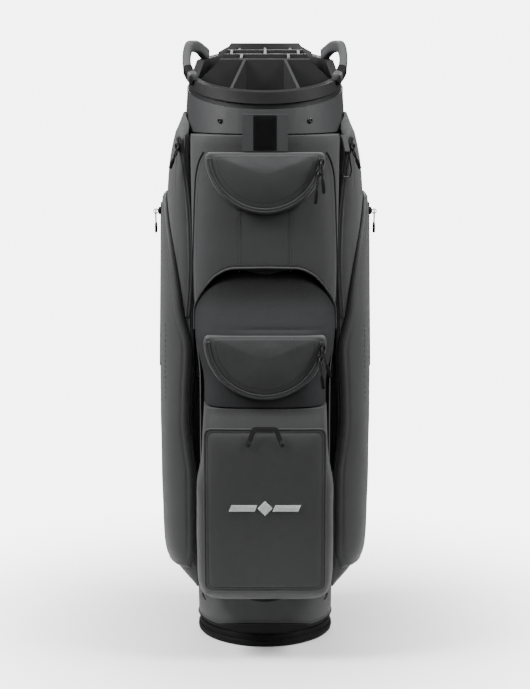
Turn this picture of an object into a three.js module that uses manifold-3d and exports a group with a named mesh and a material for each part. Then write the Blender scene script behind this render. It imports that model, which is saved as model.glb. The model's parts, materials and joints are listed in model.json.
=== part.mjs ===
// Golf cart bag with a fourteen-way top, standing on its moulded base.
// Millimetres, +Z up. The origin is the centre of the base's underside, the front faces -Y,
// and +X is the side that carries the towel ring.
import * as THREE from 'three';
import { mergeVertices } from 'three/addons/utils/BufferGeometryUtils.js';
import Module from 'manifold-3d';

const wasm = await Module();
wasm.setup();

// ---------------------------------------------------------------- driving dimensions
const GAP = 0.4; // air left between neighbouring pieces
const ROUND_SIDES = 36; // facets round the base, collar and top
const BODY_SIDES = 24; // facets round the fabric tube

const FOOT_RADIUS = 108;
const FOOT_HEIGHT = 20;
const CUP_RADIUS = 103.2;
const CUP_WALL = 3;
const CUP_TOP = 72;

const BODY_BOTTOM = 26;
const BODY_BOTTOM_RADIUS = 107.4;
const BODY_TOP_RADIUS = 117.4;
const BODY_FULL_HEIGHT = 780; // height where the tube reaches its top radius
const BODY_WALL = 3;

const COLLAR_BOTTOM = 803;
const COLLAR_BOTTOM_RADIUS = 124;
const COLLAR_TOP_RADIUS = 120.6;
const COLLAR_INNER_RADIUS = 118;
const RIM_FRONT_HEIGHT = 864; // top of the rim at its front
const RIM_REAR_HEIGHT = 926; // top of the rim at its rear
const RIM_RADIUS = 121.5;
const RIM_LIP = 17; // height of the lip that stands out over the collar
const RIM_DEPTH = 50; // height of the ring inside the collar
const RIM_INNER_RADIUS = 110.5;
const GROOVE = 26; // from the rim's top down to the collar's top
const REAR_RISE = 936; // top of the raised rear section
const HAND_DIP = 20; // how far the rim dips under each side handle

const WEB = 4; // thickness of the divider's webs
const WEB_DEPTH = 62;
const ROW_WALLS = [-45, 8, 56]; // y of the cross walls
const ROW_WALL_HALF_WIDTHS = [78, 92, 71]; // of the curtains below them

const FRONT_PANEL_Y = -124;
const FRONT_PANEL_EDGE_Y = -95;

const UPPER_D = { centreZ: 774, radius: 90, faceY: -133, rootY: -84, top: 2 };
const COOLER_D = { centreZ: 500, radius: 92, faceY: -168, rootY: -140, top: 6 };
const ZIP_INSET = 6; // from a D pocket's outline to the middle of its zip
const ZIP_WIDTH = 7;
const ZIP_THICKNESS = 1.6;

const SIDE_FRONT_Y = -72;
const SIDE_BACK_Y = 88;
const SIDE_BACK_X = 80; // where the side pocket meets the tube at the back

const PANEL_Y = -181.4; // outer face of the embroidery panel
const PANEL_THICKNESS = 2.8;
const BALL_FRONT_Y = -178.2;

const STRAP_AXIS_Y = 143;
const STRAP_TOP = 772;
const STRAP_BOTTOM = 380;

// ---------------------------------------------------------------- materials
const finish = (color, roughness, metalness = 0) =>
  new THREE.MeshStandardMaterial({ color, roughness, metalness });
const MATERIALS = {
  shell: finish(0x47484a, 0.62), // coated shell fabric
  liner: finish(0x131314, 0.9), // black lining and mesh
  collar: finish(0x4b4c4e, 0.45), // moulded grey plastic
  top: finish(0x2b2b2d, 0.5), // moulded charcoal plastic
  base: finish(0x0d0d0e, 0.42), // moulded black plastic
  rubber: finish(0x0b0b0b, 0.75),
  zip: finish(0x1a1a1b, 0.7),
  slider: finish(0x101011, 0.35, 0.6),
  webbing: finish(0x161617, 0.85),
  hook: finish(0x0e0e0e, 0.95),
  steel: finish(0x6a6c70, 0.35, 0.9),
  aluminium: finish(0xa9abad, 0.4, 0.85),
};

// ---------------------------------------------------------------- solids
function solidOf(geometry) {
  const plain = geometry.index ? geometry.toNonIndexed() : geometry.clone();
  plain.deleteAttribute('normal');
  plain.deleteAttribute('uv');
  const merged = mergeVertices(plain, 1e-4);
  const vertProperties = merged.attributes.position.array;
  const triVerts = new Uint32Array(merged.index.array);
  const made = new wasm.Manifold(new wasm.Mesh({ numProp: 3, vertProperties, triVerts }));
  if (made.volume() > 0) return made;
  for (let i = 0; i < triVerts.length; i += 3) {
    [triVerts[i + 1], triVerts[i + 2]] = [triVerts[i + 2], triVerts[i + 1]];
  }
  return new wasm.Manifold(new wasm.Mesh({ numProp: 3, vertProperties, triVerts }));
}

function geometryOf(solid) {
  const { numProp, vertProperties, triVerts } = solid.getMesh();
  const positions = [];
  for (let i = 0; i < vertProperties.length; i += numProp) {
    positions.push(vertProperties[i], vertProperties[i + 1], vertProperties[i + 2]);
  }
  return new THREE.BufferGeometry()
    .setAttribute('position', new THREE.Float32BufferAttribute(positions, 3))
    .setIndex(new THREE.Uint32BufferAttribute(triVerts, 1));
}

// A closed solid through rings of equally many points, with a fan over each end.
function loft(rings) {
  const count = rings[0].length;
  const positions = rings.flat(2);
  const index = [];
  for (let r = 0; r < rings.length - 1; r++) {
    for (let i = 0; i < count; i++) {
      const a = r * count + i;
      const b = r * count + ((i + 1) % count);
      index.push(a, b, b + count, a, b + count, a + count);
    }
  }
  for (const [ring, start, turn] of [
    [rings[0], 0, 1],
    [rings.at(-1), (rings.length - 1) * count, 0],
  ]) {
    const hub = positions.length / 3;
    for (let k = 0; k < 3; k++) {
      positions.push(ring.reduce((sum, p) => sum + p[k], 0) / count);
    }
    for (let i = 0; i < count; i++) {
      const pair = [start + i, start + ((i + 1) % count)];
      index.push(hub, pair[turn], pair[1 - turn]);
    }
  }
  return new THREE.BufferGeometry()
    .setAttribute('position', new THREE.Float32BufferAttribute(positions, 3))
    .setIndex(index);
}

// A prism whose outline lies in the plane of two axes, between two places on the third.
function prism(points, axis, low, high) {
  const place = {
    x: (p, at) => [at, p.x, p.y],
    y: (p, at) => [p.x, at, p.y],
    z: (p, at) => [p.x, p.y, at],
  }[axis];
  const outline = points.map((p) => new THREE.Vector2(...p));
  if (THREE.ShapeUtils.isClockWise(outline)) outline.reverse();
  const count = outline.length;
  const positions = [low, high].flatMap((at) => outline.flatMap((p) => place(p, at)));
  const faces = [];
  for (const [a, b, c] of THREE.ShapeUtils.triangulateShape(outline, [])) {
    faces.push([a, c, b], [a + count, b + count, c + count]);
  }
  for (let i = 0; i < count; i++) {
    const j = (i + 1) % count;
    faces.push([i, j, j + count], [i, j + count, i + count]);
  }
  const outward = axis === 'y' ? faces.map(([a, b, c]) => [a, c, b]) : faces;
  return new THREE.BufferGeometry()
    .setAttribute('position', new THREE.Float32BufferAttribute(positions, 3))
    .setIndex(outward.flat());
}

// A lathe turned about +Z from a profile of [radius, height] pairs.
const turned = (profile, sides = ROUND_SIDES) =>
  new THREE.LatheGeometry(profile.map((p) => new THREE.Vector2(...p)), sides).rotateX(Math.PI / 2);
const ring = (inner, outer, low, high, sides) =>
  turned([[inner, low], [outer, low], [outer, high], [inner, high], [inner, low]], sides);
const disc = (radius, low, high, sides) =>
  turned([[0, low], [radius, low], [radius, high], [0, high]], sides);

const circlePoint = (radius, angle) => [radius * Math.cos(angle), radius * Math.sin(angle)];
const rimHeight = (y) =>
  RIM_FRONT_HEIGHT + ((RIM_REAR_HEIGHT - RIM_FRONT_HEIGHT) * (y + RIM_RADIUS)) / (2 * RIM_RADIUS);

// Everything between two heights measured from the sloping plane of the rim.
function rimSlab(low, high) {
  const reach = 200;
  const corners = [
    [-reach, rimHeight(-reach) + low],
    [reach, rimHeight(reach) + low],
    [reach, rimHeight(reach) + high],
    [-reach, rimHeight(-reach) + high],
  ];
  return solidOf(prism(corners, 'x', -reach, reach));
}

function bodyRadius(z) {
  const share = (z - BODY_BOTTOM) / (BODY_FULL_HEIGHT - BODY_BOTTOM);
  const clipped = THREE.MathUtils.clamp(share, 0, 1);
  return THREE.MathUtils.lerp(BODY_BOTTOM_RADIUS, BODY_TOP_RADIUS, clipped);
}

// The tube's outline grown by an offset, as a solid.
function bodyCore(offset, low = 0, high = 960) {
  const heights = [low, BODY_BOTTOM, BODY_FULL_HEIGHT, high];
  const profile = heights.map((z) => [bodyRadius(z) + offset, z]);
  return solidOf(turned([[0, low], ...profile, [0, high]], BODY_SIDES * 2));
}

// ---------------------------------------------------------------- the assembly
const bag = new THREE.Group();
bag.name = 'golf_cart_bag';

function add(name, shape, material, parent = bag) {
  const geometry = geometryOf(shape.isBufferGeometry ? solidOf(shape) : shape);
  const mesh = new THREE.Mesh(geometry, MATERIALS[material]);
  mesh.name = name;
  parent.add(mesh);
  return mesh;
}

// ---------------------------------------------------------------- base
function base() {
  const foot = turned([
    [0, 0],
    [FOOT_RADIUS - 4, 0],
    [FOOT_RADIUS - 0.8, 2.5],
    [FOOT_RADIUS, 6],
    [FOOT_RADIUS - 1.6, 11],
    [FOOT_RADIUS - 3.4, 16],
    [FOOT_RADIUS - 3.6, FOOT_HEIGHT],
    [88, FOOT_HEIGHT],
    [88, 9],
    [0, 9],
  ]);
  add('foot_base', foot, 'rubber');

  const floor = 9 + GAP;
  const cup = turned([
    [0, floor],
    [88 - GAP, floor],
    [88 - GAP, FOOT_HEIGHT + GAP],
    [CUP_RADIUS, FOOT_HEIGHT + GAP],
    [CUP_RADIUS, CUP_TOP],
    [CUP_RADIUS - CUP_WALL, CUP_TOP],
    [CUP_RADIUS - CUP_WALL, FOOT_HEIGHT + 5],
    [84, FOOT_HEIGHT + 5],
    [84, floor + 4],
    [0, floor + 4],
  ]);
  add('base_cup', cup, 'base');
  add('base_pad', disc(83, floor + 4 + GAP, FOOT_HEIGHT + 6, ROUND_SIDES), 'liner');
}

// ---------------------------------------------------------------- fabric tube
function bodyWall() {
  // The lower edge rises a little at the front, where the black base shows.
  const rings = [
    [BODY_BOTTOM, 0],
    [BODY_FULL_HEIGHT, 0],
    [900, 0],
    [900, -BODY_WALL],
    [BODY_FULL_HEIGHT, -BODY_WALL],
    [BODY_BOTTOM, -BODY_WALL],
    [BODY_BOTTOM, 0],
  ];
  const tube = solidOf(turned(rings.map(([z, inset]) => [bodyRadius(z) + inset, z]), BODY_SIDES));
  const arch = prism(
    [[-70, BODY_BOTTOM - 5], [70, BODY_BOTTOM - 5], [70, 28], [36, 35], [0, 37.5], [-36, 35], [-70, 28]],
    'y',
    -160,
    0,
  );
  const below = rimSlab(-1000, -RIM_DEPTH - GAP);
  add('body_wall', tube.intersect(below).subtract(solidOf(arch)), 'shell');
}

// ---------------------------------------------------------------- soft pockets
// A half disc with a straight top, drawn in by an inset all round.
function dOutline(d, inset) {
  const radius = d.radius - inset;
  const top = d.centreZ + d.top - 0.35 * inset;
  const start = Math.asin((top - 4 - d.centreZ) / radius);
  const sweep = Math.PI + 2 * start;
  const steps = 20;
  const points = [[radius * Math.cos(start) - 5, top], [5 - radius * Math.cos(start), top]];
  for (let i = 0; i <= steps; i++) {
    const angle = Math.PI - start + (sweep * i) / steps;
    points.push([radius * Math.cos(angle), d.centreZ + radius * Math.sin(angle)]);
  }
  return points;
}

// Rings of [height above the face, inset]: a flat ledge carries the zip and the middle is crowned.
const D_STATIONS = [[-5, 0], [-1.2, 0.4], [0, 2], [0, 10.2], [1.4, 15], [4, 32], [5, 50]];
function dPocket(d) {
  const stations = [[d.faceY - d.rootY, 0], ...D_STATIONS];
  return solidOf(loft(stations.map(([out, inset]) => dOutline(d, inset).map(([x, z]) => [x, d.faceY - out, z]))));
}

// A boxy section across the front, from one side wall round the face to the other.
function frontSection(z, halfWidth, front, power = 5) {
  const rearY = SIDE_FRONT_Y - 1.2;
  const points = [[-halfWidth * 0.8, rearY, z], [halfWidth * 0.8, rearY, z]];
  const steps = 14;
  const depth = front - rearY;
  for (let i = 0; i <= steps; i++) {
    const t = (Math.PI * i) / steps;
    const across = Math.sign(Math.cos(t)) * Math.abs(Math.cos(t)) ** (2 / power);
    points.push([halfWidth * across, rearY + depth * Math.sin(t) ** (2 / power), z]);
  }
  return points;
}

// Rows of [height, half width] of the flat panel that fronts the tube.
const PANEL_ROWS = [[110, 101], [430, 101], [503, 107.5], [626, 110.5], [801, 113]];
function frontPanel(grow = 0) {
  const steps = 12;
  const rings = PANEL_ROWS.map(([z, halfWidth], row) => {
    const half = halfWidth + grow;
    const rear = SIDE_FRONT_Y - 1.2 + grow;
    const points = [[-half, rear], [half, rear]];
    for (let i = 0; i <= steps; i++) {
      const x = half * (1 - (2 * i) / steps);
      const bow = (FRONT_PANEL_EDGE_Y - FRONT_PANEL_Y) * (x / half) ** 2;
      points.push([x, FRONT_PANEL_Y + bow - grow]);
    }
    const level = row === 0 ? z - grow : row === PANEL_ROWS.length - 1 ? z + grow : z;
    return points.map(([x, y]) => [x, y, level]);
  });
  return solidOf(loft(rings));
}

// Rows of [height, half width, front face], bottom to top.
const COOLER_ROWS = [
  [397, 100, -140],
  [403, 105, -152],
  [420, 108, -160],
  [500, 108, -163],
  [541, 107.5, -150],
  [570, 92, -140],
  [592, 70, -131],
  [603, 40, -126.5],
];
const BALL_ROWS = [
  [88, 78, -128],
  [93, 90, -150],
  [104, 98, -168],
  [124, 103, BALL_FRONT_Y],
  [266, 104, BALL_FRONT_Y],
  [352, 101, BALL_FRONT_Y],
  [372, 98.5, -176],
  [384, 97, -168],
  [394.5, 94, -150],
];

function frontPockets() {
  const core = bodyCore(GAP);
  const panel = frontPanel();
  const grownPanel = frontPanel(GAP);
  add('front_panel', panel.subtract(core), 'shell');

  add('upper_pocket', dPocket(UPPER_D).subtract(grownPanel), 'shell');

  const cooler = solidOf(loft(COOLER_ROWS.map((row) => frontSection(...row))));
  add('cooler_pocket', cooler.add(dPocket(COOLER_D)).subtract(grownPanel).subtract(core), 'shell');

  const ball = solidOf(loft(BALL_ROWS.map((row) => frontSection(...row))));
  add('ball_pocket', ball.subtract(grownPanel).subtract(core), 'shell');
}

// The stitched-on panel of the ball pocket: an outline with round corners.
function ballPanel() {
  const shape = new THREE.Shape();
  const [half, low, high, lowRound, highRound] = [91, 116, 366, 10, 20];
  shape.moveTo(-half + lowRound, low);
  shape.lineTo(half - lowRound, low);
  shape.absarc(half - lowRound, low + lowRound, lowRound, -Math.PI / 2, 0);
  shape.absarc(half - highRound, high - highRound, highRound, 0, Math.PI / 2);
  shape.absarc(-half + highRound, high - highRound, highRound, Math.PI / 2, Math.PI);
  shape.absarc(-half + lowRound, low + lowRound, lowRound, Math.PI, Math.PI * 1.5);
  const plate = new THREE.ExtrudeGeometry(shape, {
    depth: PANEL_THICKNESS,
    bevelEnabled: false,
    curveSegments: 5,
  });
  const mesh = add('ball_panel', plate, 'shell');
  mesh.rotation.x = Math.PI / 2;
  mesh.position.y = PANEL_Y + PANEL_THICKNESS;
}

// Rows of the right-hand side pocket: [height, outer x, inner front x, front y, back y, squareness].
const SIDE_ROWS = [
  [84, 113, 106, -58, 70, 2.6],
  [104, 134, 106, -66, 80, 2.6],
  [124, 148, 106, -70, 86, 2.6],
  [150, 153.5, 106, SIDE_FRONT_Y, SIDE_BACK_Y, 2.6],
  [204, 155.5, 106, SIDE_FRONT_Y, SIDE_BACK_Y, 2.6],
  [266, 156.5, 106.5, SIDE_FRONT_Y, SIDE_BACK_Y, 2.6],
  [310, 157, 112, SIDE_FRONT_Y, SIDE_BACK_Y, 2.6],
  [356, 157, 116.5, SIDE_FRONT_Y, SIDE_BACK_Y, 2.6],
  [400, 157, 115, SIDE_FRONT_Y, SIDE_BACK_Y, 2.6],
  [503, 156.5, 110, SIDE_FRONT_Y, SIDE_BACK_Y, 2.6],
  [650, 154, 112.5, SIDE_FRONT_Y, SIDE_BACK_Y, 2.6],
  [744, 149, 114.5, SIDE_FRONT_Y, SIDE_BACK_Y, 3.6],
  [800, 138.5, 115.5, SIDE_FRONT_Y, 84, 3.6],
  [812, 133.5, 115, -52, 78, 3],
  [830, 126.5, 113, -20, 70, 2.6],
];
const SIDE_MIDDLE_Y = 8; // where the side pocket is widest

function sideSection([z, outer, inner, front, back, squareness], grow) {
  const points = [];
  const steps = 14;
  for (let i = 0; i <= steps; i++) {
    const t = -Math.PI / 2 + (Math.PI * i) / steps;
    const start = t < 0 ? inner - grow : SIDE_BACK_X - grow;
    const along = Math.abs(Math.sin(t)) ** (2 / squareness);
    const x = start + (outer + grow - start) * Math.abs(Math.cos(t)) ** (2 / squareness);
    const edge = t < 0 ? front - grow : back + grow;
    points.push([x, SIDE_MIDDLE_Y + (edge - SIDE_MIDDLE_Y) * along, z]);
  }
  points.push([60, 40, z], [95 - grow, -25, z]);
  return points;
}

const sideBulk = (grow) => solidOf(loft(SIDE_ROWS.map((row) => sideSection(row, grow))));

function sidePocket() {
  const collar = solidOf(disc(COLLAR_BOTTOM_RADIUS + 1, COLLAR_BOTTOM - 1.5, 900, BODY_SIDES * 2));
  return sideBulk(0).subtract(bodyCore(GAP)).subtract(collar);
}

// The pouch is a skin over the side pocket, cut to its outline as seen from the front and from the side.
const POUCH_SKIN = 8;
const POUCH_FRONT_OUTLINE = [[200, 118], [118, 118], [108.5, 150], [108.5, 262], [113.5, 310], [117.5, 356],
  [116.5, 400], [113, 470], [125, 525], [131, 567], [139, 618], [148, 672], [152, 708], [200, 708]];
const POUCH_SIDE_OUTLINE = [[-120, 118], [66, 118], [78, 130], [82, 150], [82, 560], [72, 660], [52, 700], [36, 708],
  [-120, 708]];

function sidePouch() {
  const front = solidOf(prism(POUCH_FRONT_OUTLINE, 'y', -120, 120));
  const flank = solidOf(prism(POUCH_SIDE_OUTLINE, 'x', 90, 200));
  return sideBulk(POUCH_SKIN).subtract(sideBulk(GAP)).subtract(bodyCore(GAP)).intersect(front).intersect(flank);
}

// The black strip sunk between the front pockets and a side pocket, as rows of [height, front outer x].
function gusset() {
  const rows = [[262, 104.2], [300, 108], [356, 113], [393, 112], [424, 109]];
  const section = ([z, outer]) => [[98, -60, z], [outer - 3, -60, z], [outer, -66, z], [98, -66, z]];
  return solidOf(loft(rows.map(section)));
}

// Mirrored pieces: +1 is the right side and -1 the left side.
const SIDES = [['right', 1], ['left', -1]];
function mirrored(geometry, side) {
  if (side > 0) return geometry;
  const copy = geometry.clone();
  copy.applyMatrix4(new THREE.Matrix4().makeScale(-1, 1, 1));
  const index = copy.index.array;
  for (let i = 0; i < index.length; i += 3) [index[i + 1], index[i + 2]] = [index[i + 2], index[i + 1]];
  return copy;
}

function sidePockets() {
  const pocket = geometryOf(sidePocket());
  const pouch = geometryOf(sidePouch());
  const strip = geometryOf(gusset());
  for (const [label, side] of SIDES) {
    add(`apparel_pocket_${label}`, mirrored(pocket, side), 'shell');
    add(`side_pouch_${label}`, mirrored(pouch, side), 'shell');
    add(`gusset_${label}`, mirrored(strip, side), 'liner');
  }
}

// ---------------------------------------------------------------- spine and strap
function spine() {
  const rows = [[96, 5], [110, 8], [786, 8], [798, 5]];
  const halfAngle = THREE.MathUtils.degToRad(34);
  const steps = 10;
  const rings = rows.map(([z, thick]) => {
    const points = [];
    for (let i = 0; i <= steps; i++) {
      const angle = Math.PI / 2 - halfAngle + (2 * halfAngle * i) / steps;
      points.push([...circlePoint(bodyRadius(z) + thick, angle), z]);
    }
    points.push([-40, 60, z], [40, 60, z]);
    return points;
  });
  add('spine_pad', solidOf(loft(rings)).subtract(bodyCore(GAP)), 'shell');
}

// A flat band along a curve in the plane x = 0.
function band(points, width, thickness, steps) {
  const curve = new THREE.CatmullRomCurve3(points.map(([y, z]) => new THREE.Vector3(0, y, z)));
  const rings = [];
  for (let i = 0; i <= steps; i++) {
    const at = curve.getPointAt(i / steps);
    const along = curve.getTangentAt(i / steps);
    const across = [-along.z, along.y].map((v) => (v * thickness) / 2);
    rings.push(
      [[-1, -1], [1, -1], [1, 1], [-1, 1]].map(([u, v]) => [
        (u * width) / 2,
        at.y + v * across[0],
        at.z + v * across[1],
      ]),
    );
  }
  return loft(rings);
}

function shoulderStrap() {
  const web = [
    [STRAP_AXIS_Y, STRAP_TOP],
    [STRAP_AXIS_Y + 12, 730],
    [STRAP_AXIS_Y + 26, 660],
    [STRAP_AXIS_Y + 30, 570],
    [STRAP_AXIS_Y + 22, 480],
    [STRAP_AXIS_Y + 9, 420],
    [STRAP_AXIS_Y, STRAP_BOTTOM],
  ];
  add('strap_web', band(web, 25, 2.4, 18), 'webbing');
  const pad = web.slice(1, 6).map(([y, z]) => [y + 8, z]);
  pad[0] = [STRAP_AXIS_Y + 27.5, 696];
  pad[4] = [STRAP_AXIS_Y + 25.5, 458];
  add('strap_pad', band(pad, 56, 9, 14), 'shell');

  // Each anchor is a post from the spine, flared on the side away from the strap.
  for (const [label, z, way] of [['upper', STRAP_TOP, 1], ['lower', STRAP_BOTTOM, -1]]) {
    const root = bodyRadius(z) + 8.8;
    const tip = STRAP_AXIS_Y + 3;
    const outline = [[root, -4 * way], [tip, -4 * way], [tip, 4 * way], [root, 12 * way]];
    const anchor = add(`strap_anchor_${label}`, prism(outline, 'x', -15, 15), 'webbing');
    anchor.position.z = z + way * 7;
  }
}

// ---------------------------------------------------------------- collar, top and handles
function collar() {
  const high = 960;
  const wall = turned([
    [COLLAR_INNER_RADIUS, COLLAR_BOTTOM],
    [COLLAR_BOTTOM_RADIUS, COLLAR_BOTTOM],
    [COLLAR_TOP_RADIUS, 858],
    [COLLAR_TOP_RADIUS, high],
    [COLLAR_INNER_RADIUS, high],
    [COLLAR_INNER_RADIUS, COLLAR_BOTTOM],
  ]);
  const band = solidOf(wall).intersect(rimSlab(-1000, -GROOVE));

  // The glove tab at the front, with a shallow seat for its patch.
  const tab = solidOf(prism([[-34, 777.5], [34, 777.5], [33, 832], [-33, 832]], 'y', -131, -116));
  const bore = solidOf(disc(COLLAR_INNER_RADIUS + 0.1, COLLAR_BOTTOM - 5, high));
  const behind = frontPanel(GAP + 0.4);
  const seat = solidOf(prism([[-17.4, 778.5], [17.4, 778.5], [17.4, 830.5], [-17.4, 830.5]], 'y', -135, -129));
  const holes = SCREW_PLACES.map((place) => place.hole).reduce((all, one) => all.add(one));
  add('collar', band.add(tab.subtract(bore).subtract(behind)).subtract(seat).subtract(holes), 'collar');

  const patch = add('glove_patch', new THREE.BoxGeometry(34, 2.2, 51), 'hook');
  patch.position.set(0, -130.5, 804.5);
}

const SCREW_HEAD = { radius: 4.2, height: 2 };
const SCREW_PLACES = [[-67, -1], [67, 1]].map(([x, side]) => {
  const z = 822;
  const wall = COLLAR_BOTTOM_RADIUS - ((z - COLLAR_BOTTOM) / (858 - COLLAR_BOTTOM)) * 3.4;
  const angle = Math.atan2(-Math.sqrt(wall * wall - x * x), x);
  const place = new THREE.Group();
  place.position.set(...circlePoint(wall + 0.25, angle), z);
  place.rotation.z = angle - Math.PI / 2; // the screw's own axis is +Y, pointing out
  place.updateMatrixWorld(true);
  const hole = solidOf(new THREE.CylinderGeometry(2.7, 2.7, 12, 12).applyMatrix4(place.matrixWorld));
  return { place, hole, side };
});

function screws() {
  for (const { place, side } of SCREW_PLACES) {
    const head = new THREE.LatheGeometry(
      [[0, -3.2], [2.2, -3.2], [2.2, 0], [SCREW_HEAD.radius, 0], [SCREW_HEAD.radius, 1.2],
        [3, SCREW_HEAD.height], [1.6, SCREW_HEAD.height], [1.6, 0.8], [0, 0.8]].map((p) => new THREE.Vector2(...p)),
      12,
    );
    add(side < 0 ? 'collar_screw_left' : 'collar_screw_right', head, 'slider', place);
    bag.add(place);
  }
}

// A web of the divider between two plan points, as tall as the top's profile allows.
function web([x0, y0], [x1, y1]) {
  const away = new THREE.Vector2(y0 - y1, x1 - x0).setLength(WEB / 2);
  const corners = [
    [x0 + away.x, y0 + away.y],
    [x0 - away.x, y0 - away.y],
    [x1 - away.x, y1 - away.y],
    [x1 + away.x, y1 + away.y],
  ];
  return solidOf(prism(corners, 'z', 700, 960));
}

const DIVIDER_WEBS = [
  // cross walls
  ...ROW_WALLS.map((y) => [[-118, y], [118, y]]),
  // front row: the two slanted sides of the putter well
  [[-30, ROW_WALLS[0]], [-54, -106]],
  [[30, ROW_WALLS[0]], [54, -106]],
  // second row
  [[-36, ROW_WALLS[0]], [-36, ROW_WALLS[1]]],
  [[36, ROW_WALLS[0]], [36, ROW_WALLS[1]]],
  // third row
  [[0, ROW_WALLS[1]], [0, ROW_WALLS[2]]],
  [[-52, ROW_WALLS[1]], [-52, ROW_WALLS[2]]],
  [[52, ROW_WALLS[1]], [52, ROW_WALLS[2]]],
  // rear row
  [[0, ROW_WALLS[2]], [0, 118]],
  [[-40, ROW_WALLS[2]], [-40, 118]],
  [[40, ROW_WALLS[2]], [40, 118]],
];

function divider() {
  const inner = solidOf(ring(RIM_INNER_RADIUS, COLLAR_INNER_RADIUS - GAP, 700, 1000));
  const lip = solidOf(ring(RIM_INNER_RADIUS, RIM_RADIUS, 700, 1000));
  const dip = (side) => {
    const shape = [[-46, 0], [-30, -HAND_DIP], [38, -HAND_DIP], [56, 0], [60, 40], [-50, 40]];
    const sloped = shape.map(([y, z]) => [y, rimHeight(y) + z]);
    return solidOf(prism(sloped, 'x', side > 0 ? 90 : -160, side > 0 ? 160 : -90));
  };
  const rearTop = [[-76, 900], [76, 900], [74, 922], [58, REAR_RISE - 5], [54, REAR_RISE], [-54, REAR_RISE],
    [-58, REAR_RISE - 5], [-74, 922]];
  const rear = solidOf(prism(rearTop, 'y', 70, 160)).intersect(lip);
  const rim = inner
    .intersect(rimSlab(-RIM_DEPTH, 0))
    .add(lip.intersect(rimSlab(-RIM_LIP, 0)))
    .add(rear.intersect(rimSlab(-RIM_LIP, 100)))
    .subtract(dip(1))
    .subtract(dip(-1));

  // The webs climb steeply from the front lip and then follow the slope to the raised rear.
  const profile = [
    [-118, rimHeight(-118) - WEB_DEPTH],
    [118, rimHeight(118) - WEB_DEPTH],
    [118, 930],
    [60, 926],
    [ROW_WALLS[0] + 2, 913],
    [ROW_WALLS[0] - 2, 911],
    [-106, 862],
    [-118, 852],
  ];
  const across = [[-118, 700], [118, 700], [118, 868], [96, 884], [72, 906], [50, 940], [-50, 940], [-72, 906],
    [-96, 884], [-118, 868]];
  const envelope = solidOf(prism(profile, 'x', -118, 118))
    .intersect(solidOf(prism(across, 'y', -118, 118)))
    .intersect(solidOf(disc(RIM_INNER_RADIUS + 2, 700, 1000)));
  const webs = DIVIDER_WEBS.map((ends) => web(...ends)).reduce((all, one) => all.add(one));
  add('divider', rim.add(webs.intersect(envelope)), 'top');
}

// A moulded side handle: a rounded bar that springs from the rim at the front and rejoins it behind.
function handles() {
  const path = new THREE.CatmullRomCurve3([
    new THREE.Vector3(108, -56.5, 882),
    new THREE.Vector3(117, -42, 893),
    new THREE.Vector3(120.5, -14, 914),
    new THREE.Vector3(117, 18, 931),
    new THREE.Vector3(108, 46, 931),
    new THREE.Vector3(94.5, 73, 918),
  ]);
  const steps = 16;
  const rings = [];
  for (let i = 0; i <= steps; i++) {
    const at = path.getPointAt(i / steps);
    const along = path.getTangentAt(i / steps);
    const out = new THREE.Vector3(1, 0, 0).addScaledVector(along, -along.x).normalize();
    const up = new THREE.Vector3().crossVectors(along, out).normalize();
    const section = [];
    for (let k = 0; k < 10; k++) {
      const t = (2 * Math.PI * k) / 10;
      const u = Math.sign(Math.cos(t)) * Math.abs(Math.cos(t)) ** 0.6 * 6;
      const v = Math.sign(Math.sin(t)) * Math.abs(Math.sin(t)) ** 0.6 * 8;
      section.push(at.clone().addScaledVector(out, u).addScaledVector(up, v).toArray());
    }
    rings.push(section);
  }
  const room = solidOf(disc(RIM_RADIUS + GAP, 700, 1000)).intersect(rimSlab(-1000, GAP));
  const bar = geometryOf(solidOf(loft(rings)).subtract(room));
  for (const [label, side] of SIDES) add(`handle_${label}`, mirrored(bar, side), 'collar');
}

// ---------------------------------------------------------------- frame inside the tube
function stays() {
  for (const [row, y] of [['front', ROW_WALLS[0]], ['rear', ROW_WALLS[2]]]) {
    for (const [label, side] of SIDES) {
      const low = new THREE.Vector3(side * Math.sqrt(94 ** 2 - y * y), y, FOOT_HEIGHT + 5 + GAP);
      const high = new THREE.Vector3(side * Math.sqrt(105 ** 2 - y * y), y, rimHeight(y) - WEB_DEPTH - 3);
      const rod = new THREE.CylinderGeometry(4, 4, low.distanceTo(high), 10);
      const mesh = add(`stay_${row}_${label}`, rod, 'aluminium');
      mesh.position.copy(low).lerp(high, 0.5);
      mesh.quaternion.setFromUnitVectors(new THREE.Vector3(0, 1, 0), high.clone().sub(low).normalize());
    }
  }
}

function curtains() {
  ['front', 'middle', 'rear'].forEach((label, i) => {
    const low = FOOT_HEIGHT + 6 + GAP;
    const high = rimHeight(ROW_WALLS[i]) - WEB_DEPTH - GAP - 1;
    const sheet = new THREE.BoxGeometry(2 * ROW_WALL_HALF_WIDTHS[i], 1.6, high - low);
    const mesh = add(`divider_curtain_${label}`, sheet, 'liner');
    mesh.position.set(0, ROW_WALLS[i], (low + high) / 2);
  });
}

// ---------------------------------------------------------------- zips
// An arc of zip in a plane that faces the front, from one angle round the bottom to another.
function zipArc(name, d, startDegrees, endDegrees) {
  const radius = d.radius - ZIP_INSET;
  const [start, end] = [startDegrees, endDegrees].map(THREE.MathUtils.degToRad);
  const shape = new THREE.Shape();
  shape.absarc(0, 0, radius + ZIP_WIDTH / 2, start, end, true);
  shape.absarc(0, 0, radius - ZIP_WIDTH / 2, end, start, false);
  const tape = new THREE.ExtrudeGeometry(shape, {
    depth: ZIP_THICKNESS,
    bevelEnabled: false,
    curveSegments: 26,
  });
  const mesh = add(name, tape, 'zip');
  mesh.rotation.x = Math.PI / 2;
  mesh.position.set(0, d.faceY - GAP, d.centreZ);
}

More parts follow.
